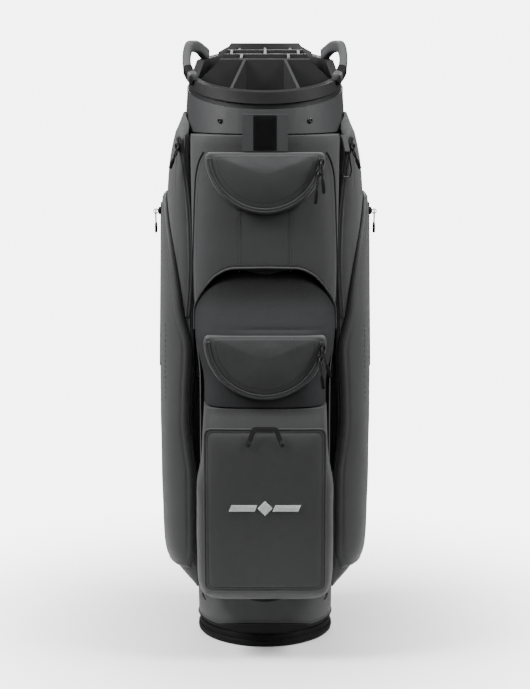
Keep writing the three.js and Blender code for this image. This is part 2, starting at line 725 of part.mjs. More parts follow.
// A slider straddles the tape at the group's origin: -Y is away from the fabric and -Z is its way to travel.
const SLIDER_BACK = ZIP_THICKNESS + GAP;
function sliderGeometry() {
  const shape = new THREE.Shape();
  const outline = [[-3.2, 6], [3.2, 6], [4.8, 2.5], [4.2, -3], [2.6, -6], [-2.6, -6], [-4.2, -3], [-4.8, 2.5]];
  outline.forEach(([x, z], i) => (i ? shape.lineTo(x, z) : shape.moveTo(x, z)));
  const plate = new THREE.ExtrudeGeometry(shape, { depth: 2.6, bevelEnabled: false }).rotateX(Math.PI / 2);
  plate.translate(0, -SLIDER_BACK, 0);
  const bridge = prism([[-SLIDER_BACK - 2, 4.6], [-SLIDER_BACK - 3.8, 3.2], [-SLIDER_BACK - 3.8, -3.2],
    [-SLIDER_BACK - 2, -4.6]], 'x', -1.3, 1.3);
  return geometryOf(solidOf(plate).add(solidOf(bridge)));
}

const PULL_PIVOT = new THREE.Vector3(0, -SLIDER_BACK - 7, -1);
function pullGeometry(length) {
  const shape = new THREE.Shape();
  shape.moveTo(-2, 0);
  shape.lineTo(-2, -length * 0.42);
  shape.lineTo(-2.9, -length * 0.5);
  shape.lineTo(-2.9, -length + 2.9);
  shape.absarc(0, -length + 2.9, 2.9, Math.PI, 2 * Math.PI);
  shape.lineTo(2.9, -length * 0.5);
  shape.lineTo(2, -length * 0.42);
  shape.lineTo(2, 0);
  shape.absarc(0, 0, 2, 0, Math.PI);
  const tag = new THREE.ExtrudeGeometry(shape, {
    depth: 2,
    bevelEnabled: true,
    bevelThickness: 0.5,
    bevelSize: 0.4,
    bevelSegments: 1,
    curveSegments: 3,
  });
  return tag.rotateX(Math.PI / 2).translate(0, 1, 0);
}

// One slider with its pull. lean is the pull's hanging angle in the plane of the fabric, in degrees.
function slider(name, { at, turnY = 0, turnZ = 0, lean = 0, length = 44 }) {
  const carriage = new THREE.Group();
  carriage.position.set(...at);
  carriage.rotation.order = 'ZYX';
  carriage.rotation.set(0, THREE.MathUtils.degToRad(turnY), THREE.MathUtils.degToRad(turnZ));
  bag.add(carriage);
  add(`${name}_slider`, sliderGeometry(), 'slider', carriage);
  const pull = add(`${name}_pull`, pullGeometry(length), 'webbing', carriage);
  pull.position.copy(PULL_PIVOT);
  pull.rotation.y = THREE.MathUtils.degToRad(lean - turnY);
}

function dSliders(name, d, upperAngle, lowerAngle, upperLean, lowerLean) {
  const radius = d.radius - ZIP_INSET;
  for (const [label, degrees, lean] of [['upper', upperAngle, upperLean], ['lower', lowerAngle, lowerLean]]) {
    const angle = THREE.MathUtils.degToRad(degrees);
    const at = [radius * Math.cos(angle), d.faceY - GAP, d.centreZ + radius * Math.sin(angle)];
    slider(`${name}_${label}`, { at, turnY: -degrees, lean });
  }
}

// Each apparel pocket's zip is a long flat arc, and each pouch's zip is straight.
const APPAREL_ZIP = { centreX: 1017, centreZ: 620, radius: 900, startZ: 796, endZ: 534, sliderZ: 781 };
const POUCH_ZIP = { top: [162, 690], bottom: [166.3, 430], y: SIDE_MIDDLE_Y, sliderShare: 0.05 };

function sideZips() {
  const zip = APPAREL_ZIP;
  const angleAt = (z) => Math.PI - Math.asin((z - zip.centreZ) / zip.radius);
  const shape = new THREE.Shape();
  shape.absarc(0, 0, zip.radius + ZIP_WIDTH / 2, angleAt(zip.startZ), angleAt(zip.endZ), false);
  shape.absarc(0, 0, zip.radius - ZIP_WIDTH / 2, angleAt(zip.endZ), angleAt(zip.startZ), true);
  const arc = new THREE.ExtrudeGeometry(shape, { depth: ZIP_THICKNESS, bevelEnabled: false, curveSegments: 14 });
  arc.rotateX(Math.PI / 2).translate(zip.centreX, SIDE_FRONT_Y - GAP, zip.centreZ);
  const tape = geometryOf(solidOf(arc));

  const [top, bottom] = [POUCH_ZIP.top, POUCH_ZIP.bottom].map((place) => new THREE.Vector2(...place));
  const run = top.clone().sub(bottom);
  for (const [label, side] of SIDES) {
    add(`apparel_zip_${label}`, mirrored(tape, side), 'zip');
    const angle = angleAt(zip.sliderZ);
    slider(`apparel_${label}`, {
      at: [side * (zip.centreX + zip.radius * Math.cos(angle)), SIDE_FRONT_Y - GAP, zip.sliderZ],
      turnY: side * THREE.MathUtils.radToDeg(Math.PI - angle),
      lean: -side * 22,
      length: 34,
    });

    const bar = new THREE.BoxGeometry(ZIP_THICKNESS, ZIP_WIDTH, run.length());
    const strip = add(`pouch_zip_${label}`, bar, 'zip');
    strip.position.set(side * ((top.x + bottom.x) / 2 + ZIP_THICKNESS / 2), POUCH_ZIP.y, (top.y + bottom.y) / 2);
    strip.rotation.y = side * Math.atan2(run.x, run.y);
    slider(`pouch_${label}`, {
      at: [side * (top.x - run.x * POUCH_ZIP.sliderShare), POUCH_ZIP.y, top.y - run.y * POUCH_ZIP.sliderShare],
      turnZ: side * 90,
      length: 34,
    });
  }
}

// ---------------------------------------------------------------- webbing loops and towel ring
function grabLoop() {
  // A narrow webbing arch that lies on the ball panel, bar-tacked at its two feet.
  const shape = new THREE.Shape();
  const outline = [[-29, 0], [-20, 0], [-18, 6], [-10.5, 28], [10.5, 28], [18, 6], [20, 0], [29, 0], [28, 8],
    [17.5, 36], [-17.5, 36], [-28, 8]];
  outline.forEach(([x, z], i) => (i ? shape.lineTo(x, z) : shape.moveTo(x, z)));
  const arch = new THREE.ExtrudeGeometry(shape, { depth: 3, bevelEnabled: false });
  const mesh = add('grab_loop', arch, 'webbing');
  mesh.rotation.x = Math.PI / 2;
  mesh.position.set(0, PANEL_Y - GAP, 344);
}

const TOWEL = { x: 118, y: -77, top: 799, turn: THREE.MathUtils.degToRad(25), reach: 11, drop: 22 };
function towelHolder() {
  // Both pieces share a frame turned to the bag's corner: local -Y points forward and a little outward.
  const corner = new THREE.Group();
  corner.position.set(TOWEL.x, TOWEL.y, TOWEL.top);
  corner.rotation.z = TOWEL.turn;
  bag.add(corner);

  const half = 1.2;
  const side = [[half, 0], [-TOWEL.reach + half, -TOWEL.drop], [-TOWEL.reach - half, -TOWEL.drop], [-half, 0]];
  add('towel_tab', prism(side, 'x', -4.5, 4.5), 'webbing', corner);

  // A three-sided wire ring: an outline grown outwards and, for its hole, inwards.
  const corners = [[3.5, -1.4], [-3.5, -1.4], [-8.5, -30], [-5.5, -38], [5.5, -38], [8.5, -30]];
  const wire = 1.3;
  const trace = (path, amount) => {
    corners.forEach(([x, z], i) => {
      const away = new THREE.Vector2(x, z + 24).setLength(amount);
      if (i) path.lineTo(x + away.x, z + away.y);
      else path.moveTo(x + away.x, z + away.y);
    });
    return path;
  };
  const shape = trace(new THREE.Shape(), wire);
  shape.holes.push(trace(new THREE.Path(), -wire));
  const triangle = new THREE.ExtrudeGeometry(shape, { depth: 2 * wire, bevelEnabled: false });
  const mesh = add('towel_ring', triangle.rotateX(Math.PI / 2).translate(0, wire, 0), 'steel', corner);
  mesh.position.set(0, -TOWEL.reach - 1, -TOWEL.drop - 1.5);
}

// ---------------------------------------------------------------- build
base();
bodyWall();
frontPockets();
ballPanel();
sidePockets();
spine();
shoulderStrap();
collar();
screws();
divider();
handles();
stays();
curtains();
zipArc('upper_zip', UPPER_D, -4, -176);
zipArc('cooler_zip', COOLER_D, -1, -179);
dSliders('upper', UPPER_D, -9, -20, -6, 5);
dSliders('cooler', COOLER_D, -8, -19, -17, -8);
sideZips();
grabLoop();
towelHolder();

export default bag;
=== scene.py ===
"""Golf cart bag: the visual model, in metres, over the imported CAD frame.

Helper functions take millimetres in the bag's own frame (+Z up, -Y the pocket side, +X the towel ring's side)
and scale them once, in mesh_piece().
"""
import json
import math

import bmesh
import bpy
import numpy as np
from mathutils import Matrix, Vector


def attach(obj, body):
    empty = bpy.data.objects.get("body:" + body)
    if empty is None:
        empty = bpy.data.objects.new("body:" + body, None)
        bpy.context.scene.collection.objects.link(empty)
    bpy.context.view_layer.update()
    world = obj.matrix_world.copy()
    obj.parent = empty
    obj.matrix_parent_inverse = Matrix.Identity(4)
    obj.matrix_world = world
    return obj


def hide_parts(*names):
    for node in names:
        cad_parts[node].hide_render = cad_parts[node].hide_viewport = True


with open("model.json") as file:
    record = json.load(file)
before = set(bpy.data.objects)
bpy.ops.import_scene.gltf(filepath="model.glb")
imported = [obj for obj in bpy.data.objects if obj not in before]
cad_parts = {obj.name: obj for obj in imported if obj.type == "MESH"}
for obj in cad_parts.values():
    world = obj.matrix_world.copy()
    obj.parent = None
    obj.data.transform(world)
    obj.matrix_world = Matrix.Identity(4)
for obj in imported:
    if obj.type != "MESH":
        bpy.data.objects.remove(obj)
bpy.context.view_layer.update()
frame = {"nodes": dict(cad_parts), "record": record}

MM = 0.001
BAG = "bag"
UP = np.array([0.0, 0.0, 1.0])
FRONT = np.array([0.0, -1.0, 0.0])
SIDES = (("right", 1), ("left", -1))

# Sizes shared with the CAD part, in mm.
BODY_BOTTOM, BODY_BOTTOM_RADIUS, BODY_FULL_HEIGHT, BODY_TOP_RADIUS, BODY_WALL = 26, 107.4, 780, 117.4, 3
COLLAR_BOTTOM, COLLAR_BOTTOM_RADIUS = 803, 124
RIM_FRONT_HEIGHT, RIM_REAR_HEIGHT, RIM_RADIUS, RIM_DEPTH = 864, 926, 121.5, 50
ROW_WALLS = (-45, 8, 56)
CURTAIN_HALF_WIDTHS = (78, 92, 71)
WEB_DEPTH = 62
PANEL_FRONT_Y = -124
SIDE_FRONT_Y, SIDE_MIDDLE_Y, SIDE_BACK_Y, SIDE_BACK_X = -72, 8, 88, 80
POCKET_REAR_Y = SIDE_FRONT_Y - 1.2
UPPER_D = {"centre": 774, "radius": 90, "face": -133, "root": -84, "top": 2}
COOLER_D = {"centre": 500, "radius": 92, "face": -168, "root": -140, "top": 6}
STRAP_AXIS_Y, STRAP_TOP, STRAP_BOTTOM = 143, 772, 380


# ---------------------------------------------------------------- materials
def node(tree, kind, attributes=None, **inputs):
    """Adds a shader node. Values that are sockets are linked, and the rest are set."""
    made = tree.nodes.new(kind)
    for key, value in (attributes or {}).items():
        setattr(made, key, value)
    for key, value in inputs.items():
        numbered = key[0] == "i" and key[1:].isdigit()
        socket = made.inputs[int(key[1:]) if numbered else key.replace("_", " ")]
        if isinstance(value, bpy.types.NodeSocket):
            tree.links.new(value, socket)
        else:
            socket.default_value = value
    return made


def maths(tree, operation, a, b=0.0):
    return node(tree, "ShaderNodeMath", {"operation": operation}, i0=a, i1=b).outputs[0]


SMOOTH_STEP = {"interpolation_type": "SMOOTHSTEP"}


def noise(tree, place, scale, detail=2.0):
    return node(tree, "ShaderNodeTexNoise", Vector=place, Scale=scale, Detail=detail).outputs["Fac"]


def remap(tree, value, low, high, **rest):
    return node(tree, "ShaderNodeMapRange", Value=value, To_Min=low, To_Max=high, **rest).outputs["Result"]


def weave_height(tree, place, pitch, along):
    """A plain weave wrapped round the bag: threads over and under each other, pitch metres apart."""
    parts = node(tree, "ShaderNodeSeparateXYZ", Vector=place)
    forward = maths(tree, "MULTIPLY", parts.outputs["Y"], -1.0)
    around = maths(tree, "MULTIPLY", maths(tree, "ARCTAN2", parts.outputs["X"], forward), 0.15)
    turn = math.pi / pitch
    warp = maths(tree, "SINE", maths(tree, "MULTIPLY", around, turn))
    weft = maths(tree, "SINE", maths(tree, "MULTIPLY", parts.outputs["Z"], turn * along))
    return maths(tree, "MULTIPLY", warp, weft)


def finish(name, colour, roughness, *, weave=0.0, along=1.0, depth=0.25, grain=0.0, grain_depth=0.15,
           mottle=0.12, edge_lightening=0.0, metallic=0.0, sheen=0.0, specular=0.5, fade=None):
    """A procedural finish: colour varies with cloudy noise, and bump comes from a weave, a grain or both.

    A fade is painted shade that darkens the colour towards the top: (from height, to height, share of the
    colour left at the top), in metres.
    """
    material = bpy.data.materials.new(name)
    material.use_nodes = True
    tree = material.node_tree
    shader = tree.nodes["Principled BSDF"]
    place = node(tree, "ShaderNodeTexCoord").outputs["Object"]

    cloud = maths(tree, "ADD", remap(tree, noise(tree, place, 9.0, 3.0), -mottle, mottle),
                  remap(tree, noise(tree, place, 190.0, 2.0), -mottle * 0.7, mottle * 0.7))
    level = maths(tree, "ADD", cloud, 1.0)
    height = 0.0
    if weave:
        height = weave_height(tree, place, weave, along)
        # The weave's height also sets the colour: painted shade in its low points and painted light on its
        # raised threads.
        level = maths(tree, "ADD", level, maths(tree, "MULTIPLY", height, 0.10))
    if grain:
        speckle = noise(tree, place, grain, 2.0)
        height = maths(tree, "ADD", maths(tree, "MULTIPLY", speckle, grain_depth * 4), height)
    # Lighter colour on sharp edges, found by pointiness.
    if edge_lightening:
        edge = node(tree, "ShaderNodeNewGeometry").outputs["Pointiness"]
        level = maths(tree, "ADD", level, remap(tree, edge, 0.0, edge_lightening, From_Min=0.52, From_Max=0.62))
    # Painted shade: the colour darkens towards the top of the fade, for the shade under the front panel's
    # hem.
    if fade:
        height_up = node(tree, "ShaderNodeSeparateXYZ", Vector=place).outputs["Z"]
        low, high, darkest = fade
        painted_shade = remap(tree, height_up, 1.0, darkest, attributes=SMOOTH_STEP, From_Min=low, From_Max=high)
        level = maths(tree, "MULTIPLY", level, painted_shade)
    multiply = {"data_type": "RGBA", "blend_type": "MULTIPLY"}
    tint = node(tree, "ShaderNodeMix", multiply, Factor=1.0, i6=(*colour, 1.0))
    grey = node(tree, "ShaderNodeCombineColor", Red=level, Green=level, Blue=level)
    tree.links.new(grey.outputs[0], tint.inputs[7])
    tree.links.new(tint.outputs[2], shader.inputs["Base Color"])
    rough = remap(tree, noise(tree, place, 45.0), roughness - 0.06, roughness + 0.06)
    tree.links.new(rough, shader.inputs["Roughness"])
    if weave or grain:
        bump = node(tree, "ShaderNodeBump", Strength=depth, Distance=0.0006, Height=height)
        tree.links.new(bump.outputs[0], shader.inputs["Normal"])
    shader.inputs["Metallic"].default_value = metallic
    shader.inputs["Sheen Weight"].default_value = sheen
    shader.inputs["Sheen Roughness"].default_value = 0.45
    shader.inputs["Specular IOR Level"].default_value = specular
    shader.inputs["Coat Weight"].default_value = 0.0
    return material


COATED_WEAVE = {"weave": 0.0011, "depth": 0.35, "grain": 900, "grain_depth": 0.08, "mottle": 0.07}
LOOKS = {
    "shell": finish("shell_weave", (0.021, 0.0214, 0.0222), 0.62, sheen=0.15, specular=0.35, **COATED_WEAVE),
    # The cooler pocket's fade is painted shade: darker towards its top, under the front panel's hem.
    "cooler": finish("cooler_weave_painted_shade", (0.027, 0.0275, 0.0285), 0.64, specular=0.06, fade=(0.51, 0.59, 0.12),
                     **COATED_WEAVE),
    "side": finish("side_weave", (0.025, 0.0254, 0.0262), 0.60, sheen=0.2, specular=0.4, **COATED_WEAVE),
    "piping": finish("piping_weave", (0.030, 0.0304, 0.0312), 0.58, weave=0.0009, depth=0.5, mottle=0.08,
                     specular=0.4),
    "seam": finish("seam_tape", (0.006, 0.006, 0.0063), 0.8, weave=0.0008, depth=0.5, mottle=0.1,
                   specular=0.2),
    "lining": finish("lining_weave", (0.006, 0.006, 0.0064), 0.85, weave=0.0016, depth=0.5, specular=0.2),
    "collar": finish("collar_grain", (0.022, 0.0224, 0.0232), 0.46, grain=1400, grain_depth=0.3,
                     mottle=0.03, edge_lightening=0.3, specular=0.45),
    "top": finish("top_grain", (0.0045, 0.0045, 0.0048), 0.50, grain=1300, grain_depth=0.3, depth=0.3,
                  mottle=0.04, edge_lightening=0.5, specular=0.4),
    "handle": finish("handle_rubber", (0.034, 0.0345, 0.0355), 0.55, grain=1500, grain_depth=0.25, depth=0.3,
                     mottle=0.05, edge_lightening=0.3, specular=0.4),
    "base": finish("base_grain", (0.0016, 0.0016, 0.0018), 0.55, grain=900, grain_depth=0.3, depth=0.3,
                   mottle=0.08, edge_lightening=0.8, specular=0.15),
    "rubber": finish("foot_rubber", (0.0014, 0.0014, 0.0016), 0.7, grain=700, grain_depth=0.35, depth=0.4,
                     mottle=0.15, edge_lightening=0.8, specular=0.15),
    "zip": finish("zip_coil", (0.007, 0.007, 0.0073), 0.5, weave=0.0007, depth=0.5, mottle=0.1,
                  specular=0.45),
    "metal": finish("black_lacquer", (0.007, 0.007, 0.0075), 0.32, grain=1600, depth=0.1, mottle=0.05,
                    edge_lightening=2.0, metallic=0.35),
    "web": finish("webbing_weave", (0.0055, 0.0055, 0.0058), 0.78, weave=0.0013, along=0.6, depth=0.7,
                  mottle=0.1, sheen=0.1, specular=0.25),
    "hook": finish("hook_tape", (0.0035, 0.0035, 0.0036), 0.95, weave=0.0010, depth=0.8, grain=1700,
                   grain_depth=0.6, mottle=0.2, specular=0.1),
    "steel": finish("dark_nickel", (0.03, 0.03, 0.032), 0.42, grain=1200, grain_depth=0.1, depth=0.1,
                    mottle=0.05, metallic=0.9),
    "aluminium": finish("drawn_tube", (0.6, 0.61, 0.62), 0.35, grain=600, grain_depth=0.1, depth=0.1,
                        mottle=0.05, metallic=1.0),
    "thread": finish("thread_twist", (0.045, 0.046, 0.048), 0.7, weave=0.0006, depth=0.6, mottle=0.1,
                     specular=0.3),
    "white": finish("white_thread", (0.88, 0.89, 0.9), 0.5, weave=0.0005, along=0.2, depth=0.8,
                    mottle=0.05, sheen=0.2),
}
SLOT_OF = dict.fromkeys(("shell", "cooler", "side", "piping", "seam", "thread", "white"), "shell_fabric") | {
    "lining": "lining", "collar": "collar_plastic", "top": "top_plastic", "handle": "collar_plastic",
    "base": "base_plastic", "rubber": "foot_rubber", "zip": "zip_tape", "metal": "black_metal",
    "web": "webbing", "hook": "hook_tape", "steel": "ring_steel", "aluminium": "stay_aluminium",
}


# ---------------------------------------------------------------- mesh helpers
def mesh_piece(name, verts, faces, look, body=BAG, stands_for=(), parent=None):
    """A piece from vertices in mm. It rides on a body, or on the piece it is sewn to."""
    mesh = bpy.data.meshes.new(name)
    mesh.from_pydata((np.asarray(verts, float) * MM).tolist(), [], faces)
    work = bmesh.new()
    work.from_mesh(mesh)
    bmesh.ops.recalc_face_normals(work, faces=work.faces)
    work.to_mesh(mesh)
    work.free()
    mesh.shade_smooth()
    mesh.materials.append(LOOKS[look])
    piece = bpy.data.objects.new(name, mesh)
    bpy.context.scene.collection.objects.link(piece)
    if stands_for:
        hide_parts(*stands_for)
    if parent:
        piece.parent = parent
    else:
        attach(piece, body)
    return piece


def grid_faces(rows, columns, closed=True, start=0):
    faces = []
    for row in range(rows - 1):
        for column in range(columns if closed else columns - 1):
            a = start + row * columns + column
            b = start + row * columns + (column + 1) % columns
            faces.append((a, b, b + columns, a + columns))
    return faces


def lofted(name, rings, look, closed=True, caps=True, **rest):
    """A skin over rings of equal length, with a fan over the first and last ring."""
    rings = np.asarray(rings, float)
    rows, columns = rings.shape[:2]
    verts = rings.reshape(-1, 3).tolist()
    faces = grid_faces(rows, columns, closed)
    if caps:
        for ring, first in ((rings[0], 0), (rings[-1], (rows - 1) * columns)):
            verts.append(ring.mean(axis=0).tolist())
            faces += [(first + c, first + (c + 1) % columns, len(verts) - 1) for c in range(columns)]
    return mesh_piece(name, verts, faces, look, **rest)


def curve_through(keys, values, at):
    """Values that run smoothly through the keyed ones and never overshoot them."""
    keys, values, at = np.asarray(keys, float), np.asarray(values, float), np.asarray(at, float)
    step = np.diff(keys)[:, None]
    slope = np.diff(values, axis=0) / step
    product = slope[:-1] * slope[1:]
    total = np.where(product > 0, slope[:-1] + slope[1:], 1.0)
    tangent = np.vstack([slope[:1], np.where(product > 0, 2 * product / total, 0.0), slope[-1:]])
    i = np.clip(np.searchsorted(keys, at, side="right") - 1, 0, len(keys) - 2)
    t = ((at - keys[i]) / np.diff(keys)[i])[:, None]
    return ((1 + 2 * t) * (1 - t) ** 2 * values[i] + t * (1 - t) ** 2 * step[i] * tangent[i]
            + t * t * (3 - 2 * t) * values[i + 1] + t * t * (t - 1) * step[i] * tangent[i + 1])


def keyed(rows, at):
    """Rows of [height, values...] turned into smooth values at other heights."""
    rows = np.asarray(rows, float)
    return curve_through(rows[:, 0], rows[:, 1:], at)


def distances(path):
    """How far along the path each of its points is."""
    return np.concatenate([[0], np.cumsum(np.linalg.norm(np.diff(path, axis=0), axis=1))])


def resampled(path, spacing, closed=False):
    """Points evenly spaced along a path."""
    path = np.asarray(path, float)
    if closed:
        path = np.vstack([path, path[:1]])
    far = distances(path)
    count = max(2, int(round(far[-1] / spacing)))
    at = np.linspace(0, far[-1], count + 1)
    points = np.column_stack([np.interp(at, far, path[:, k]) for k in range(path.shape[1])])
    return points[:-1] if closed else points


def spread(outline, count):
    """A closed outline's points interpolated to a set count."""
    at = np.linspace(0, len(outline), count, endpoint=False)
    steps = np.arange(len(outline) + 1)
    return np.column_stack([np.interp(at, steps, np.append(outline[:, k], outline[0, k])) for k in (0, 1)])


def facing(outline, y):
    """Points of an (x, z) outline set at y, which is one depth or one for each point."""
    return np.column_stack([outline[:, 0], np.zeros(len(outline)) + y, outline[:, 1]])


def rounded(path, reach, closed=False):
    """The path with its corners eased over about the reach, in steps of the path's own spacing."""
    path = np.asarray(path, float)
    spacing = np.linalg.norm(path[1] - path[0])
    for _ in range(3):
        half = max(1, int(reach / spacing / 3))
        if closed:
            path = sum(np.roll(path, k, axis=0) for k in range(-half, half + 1)) / (2 * half + 1)
        else:
            padded = np.vstack([2 * path[0] - path[half:0:-1], path, 2 * path[-1] - path[-2:-half - 2:-1]])
            path = sum(padded[k:k + len(path)] for k in range(2 * half + 1)) / (2 * half + 1)
    return path


def smooth_route(points, count, reach):
    """A smooth curve through a few points, with its bends eased over about the reach."""
    points = np.asarray(points, float)
    far = distances(points)
    curve = curve_through(far, points, np.linspace(0, far[-1], count))
    return rounded(resampled(curve, far[-1] / count), reach)


def directions(path, closed=False):
    path = np.asarray(path, float)
    if closed:
        step = np.roll(path, -1, axis=0) - np.roll(path, 1, axis=0)
    else:
        step = np.gradient(path, axis=0)
    return step / np.linalg.norm(step, axis=1)[:, None]


def swept(name, path, section, look, out=FRONT, closed=False, scale=None, caps=True, **rest):
    """A section of (across, outward) points carried along a path and turned to face out."""
    path, section = np.asarray(path, float), np.asarray(section, float)
    along = directions(path, closed)
    out = np.broadcast_to(np.asarray(out, float), path.shape)
    out = out - (out * along).sum(axis=1)[:, None] * along
    out = out / np.linalg.norm(out, axis=1)[:, None]
    across = np.cross(along, out)
    size = np.ones(len(path)) if scale is None else np.asarray(scale, float)
    rings = (path[:, None] + (section[None, :, :1] * across[:, None] + section[None, :, 1:] * out[:, None])
             * size[:, None, None])
    if closed:
        rings = np.concatenate([rings, rings[:1]])
    return lofted(name, rings, look, caps=caps and not closed, **rest)


def circle(radius, sides=8, squash=1.0):
    turn = np.linspace(0, 2 * math.pi, sides, endpoint=False)
    return np.column_stack([radius * np.cos(turn), radius * squash * np.sin(turn)])


def bar(width, thickness, power=5.0, sides=16):
    """A flat section with round edges."""
    turn = np.linspace(0, 2 * math.pi, sides, endpoint=False)
    ease = lambda wave: np.sign(wave) * np.abs(wave) ** (2 / power)
    return np.column_stack([ease(np.cos(turn)) * width / 2, ease(np.sin(turn)) * thickness / 2])


def stitches(name, paths, look="thread", length=3.0, gap=1.8, width=0.55, out=FRONT, **rest):
    """Runs of raised thread, one spindle a stitch, in one mesh."""
    verts, faces = [], []
    for path in paths:
        points = resampled(path, length + gap)
        along = directions(points)
        for at, way in zip(points[:-1], along[:-1]):
            across = np.cross(way, out)
            across = across / max(np.linalg.norm(across), 1e-6) * width
            lift = np.cross(across, way)
            start = len(verts)
            middle = at + way * length / 2
            verts += [at, middle + across, middle + lift, middle - across, middle - lift, at + way * length]
            ring = [start + 1, start + 2, start + 3, start + 4]
            for k in range(4):
                faces += [(start, ring[k], ring[(k + 1) % 4]), (start + 5, ring[(k + 1) % 4], ring[k])]
    return mesh_piece(name, verts, faces, look, **rest)


def ripple(x, y, z):
    """Slow unevenness of sewn fabric, from -1 to 1."""
    return (np.sin(x * 0.045 + 1.3) * np.sin(z * 0.021 + 0.4) + 0.6 * np.sin(x * 0.083 + z * 0.037 + y * 0.05)
            + 0.4 * np.sin(z * 0.071 - y * 0.06 + 2.0)) / 2


def body_radius(z):
    share = np.clip((np.asarray(z, float) - BODY_BOTTOM) / (BODY_FULL_HEIGHT - BODY_BOTTOM), 0, 1)
    return BODY_BOTTOM_RADIUS + (BODY_TOP_RADIUS - BODY_BOTTOM_RADIUS) * share


def around(radius, angle, z):
    """Points at a radius and an angle from +X for each height in z."""
    x, y = radius * np.cos(angle), radius * np.sin(angle)
    return np.stack([x, y, z[:, None] + 0 * x], axis=-1)


def rim_height(y):
    share = (np.asarray(y, float) + RIM_RADIUS) / (2 * RIM_RADIUS)
    return RIM_FRONT_HEIGHT + (RIM_REAR_HEIGHT - RIM_FRONT_HEIGHT) * share


def eased(count):
    """0 to 1 in steps that are finer at both ends."""
    return (1 - np.cos(np.linspace(0, math.pi, count))) / 2


def levels(low, high, fine, *even):
    """Heights from low to high, finer at both ends, with an even run (from, to, count) among them."""
    return np.unique(np.concatenate([low + (high - low) * eased(fine), np.linspace(*even)]))


def crowned(near, reach):
    """0 at an edge and 1 from the reach on, round in between, for distances from that edge."""
    return np.sqrt(np.clip(1 - (1 - np.clip(near / reach, 0, 1)) ** 2, 0, 1))


# ---------------------------------------------------------------- base and tube
def lathe(name, profile, look, sides=144, **rest):
    """A closed profile of (radius, height) points turned about the bag's axis."""
    turn = np.linspace(0, 2 * math.pi, sides, endpoint=False)
    rings = [[[r * math.cos(a), r * math.sin(a), z] for a in turn] for r, z in profile]
    rings.append(rings[0])
    return lofted(name, rings, look, caps=False, **rest)


def foot():
    profile = [(6, 0.3), (98, 0.3), (103.5, 0), (106, 0.8), (107.4, 2.4), (108, 5), (107.8, 8), (106.8, 10.2),
               (105.9, 10.8), (106.4, 11.8), (106.2, 14), (105, 17), (104.4, 19.2), (103, 20), (90, 20),
               (88.2, 19.4), (88, 18), (88, 9.5), (87, 9), (6, 9)]
    lathe("foot_ring", profile, "rubber", stands_for=("foot_base",))
    radius, height = 106.35, 12.6
    turn = np.linspace(-math.pi, 0, 90)
    groove = np.column_stack([radius * np.cos(turn), radius * np.sin(turn), np.full(90, height)])
    stitches("foot_ribs", [groove], "rubber", length=1.2, gap=2.6, width=1.5, out=UP)


def tube():
    """The fabric tube: outer and inner skins, with the arch that shows the base at the front."""
    turn = np.linspace(-math.pi, math.pi, 180, endpoint=False)  # 0 faces the front
    x_way, y_way = np.sin(turn), -np.cos(turn)
    arch_x = np.abs(BODY_BOTTOM_RADIUS * x_way)
    half, rise = 72, 11.5
    crown = rise * np.cos(np.clip(arch_x / half, 0, 1) * math.pi / 2) ** 0.6
    arch = np.where((arch_x < half) & (y_way < 0), crown, 0.0)
    low = BODY_BOTTOM + arch
    high = rim_height(117 * y_way) - RIM_DEPTH - 0.4
    rings = []
    share = np.concatenate([[0, 0.0015, 0.004, 0.0075, 0.012], np.linspace(0.03, 1, 44)])
    lip = np.array([0.9, 0.2, 0.0, 0.5, 0.2])  # the bound edge, then its stitch line
    for i, s in enumerate(share):
        z = low + (high - low) * s
        radius = body_radius(z) - (lip[i] if i < len(lip) else 0.0)
        wave = 0.25 * ripple(radius * turn, 0, z) * np.clip((s - 0.02) * 20, 0, 1)
        rings.append(np.column_stack([(radius + wave) * x_way, (radius + wave) * y_way, z]))
    for s in (1.0, 0.5, 0.02, 0.0):
        z = low + (high - low) * s
        radius = body_radius(z) - BODY_WALL
        rings.append(np.column_stack([radius * x_way, radius * y_way, z]))
    rings.append(rings[0])
    body = lofted("tube_fabric", rings, "shell", caps=False, stands_for=("body_wall",))
    path = rings[3] + np.column_stack([x_way, y_way, 0 * turn]) * 0.6
    stitches("tube_hem_stitches", [path[y_way < 0.4]], length=2.6, gap=1.8, out=UP, width=0.45)
    trim = rounded(resampled(rings[1], 3, closed=True), 4, closed=True)
    swept("tube_binding", trim, circle(1.5, 8), "seam", out=UP, closed=True)
    return body


# ---------------------------------------------------------------- front pockets
def box_sections(rows, heights, power, columns=72, bow=0.0):
    """Boxy sections across the front, from rows of [height, half width, front face]."""
    values = keyed(rows, heights)
    turn = math.pi * eased(columns)
    ease = lambda wave: np.abs(wave) ** (2 / power)
    rings = []
    for z, (half, front) in zip(heights, values):
        depth = front - POCKET_REAR_Y
        x = half * np.sign(np.cos(turn)) * ease(np.cos(turn))
        y = np.minimum(POCKET_REAR_Y + depth * ease(np.sin(turn)) - bow * np.sin(turn) ** 2, POCKET_REAR_Y)
        rings.append(np.column_stack([x, y, np.full_like(x, z)]))
    return np.array(rings)


PANEL_ROWS = [[110, 101, -112], [430, 101, -112], [503, 107.5, -120], [626, 110.5, PANEL_FRONT_Y],
              [790, 112.6, PANEL_FRONT_Y], [801, 112, PANEL_FRONT_Y + 1.5]]
PANEL_POWER = 3.3
PANEL_SEAM_X = 35.0


def panel_y(x, z):
    """The front panel's surface at a point seen from the front."""
    half, front = keyed(PANEL_ROWS, np.atleast_1d(np.asarray(z, float))).T
    share = np.clip(np.abs(np.asarray(x, float)) / half, 0, 0.999)
    return POCKET_REAR_Y + (front - POCKET_REAR_Y) * (1 - share ** PANEL_POWER) ** (1 / PANEL_POWER)


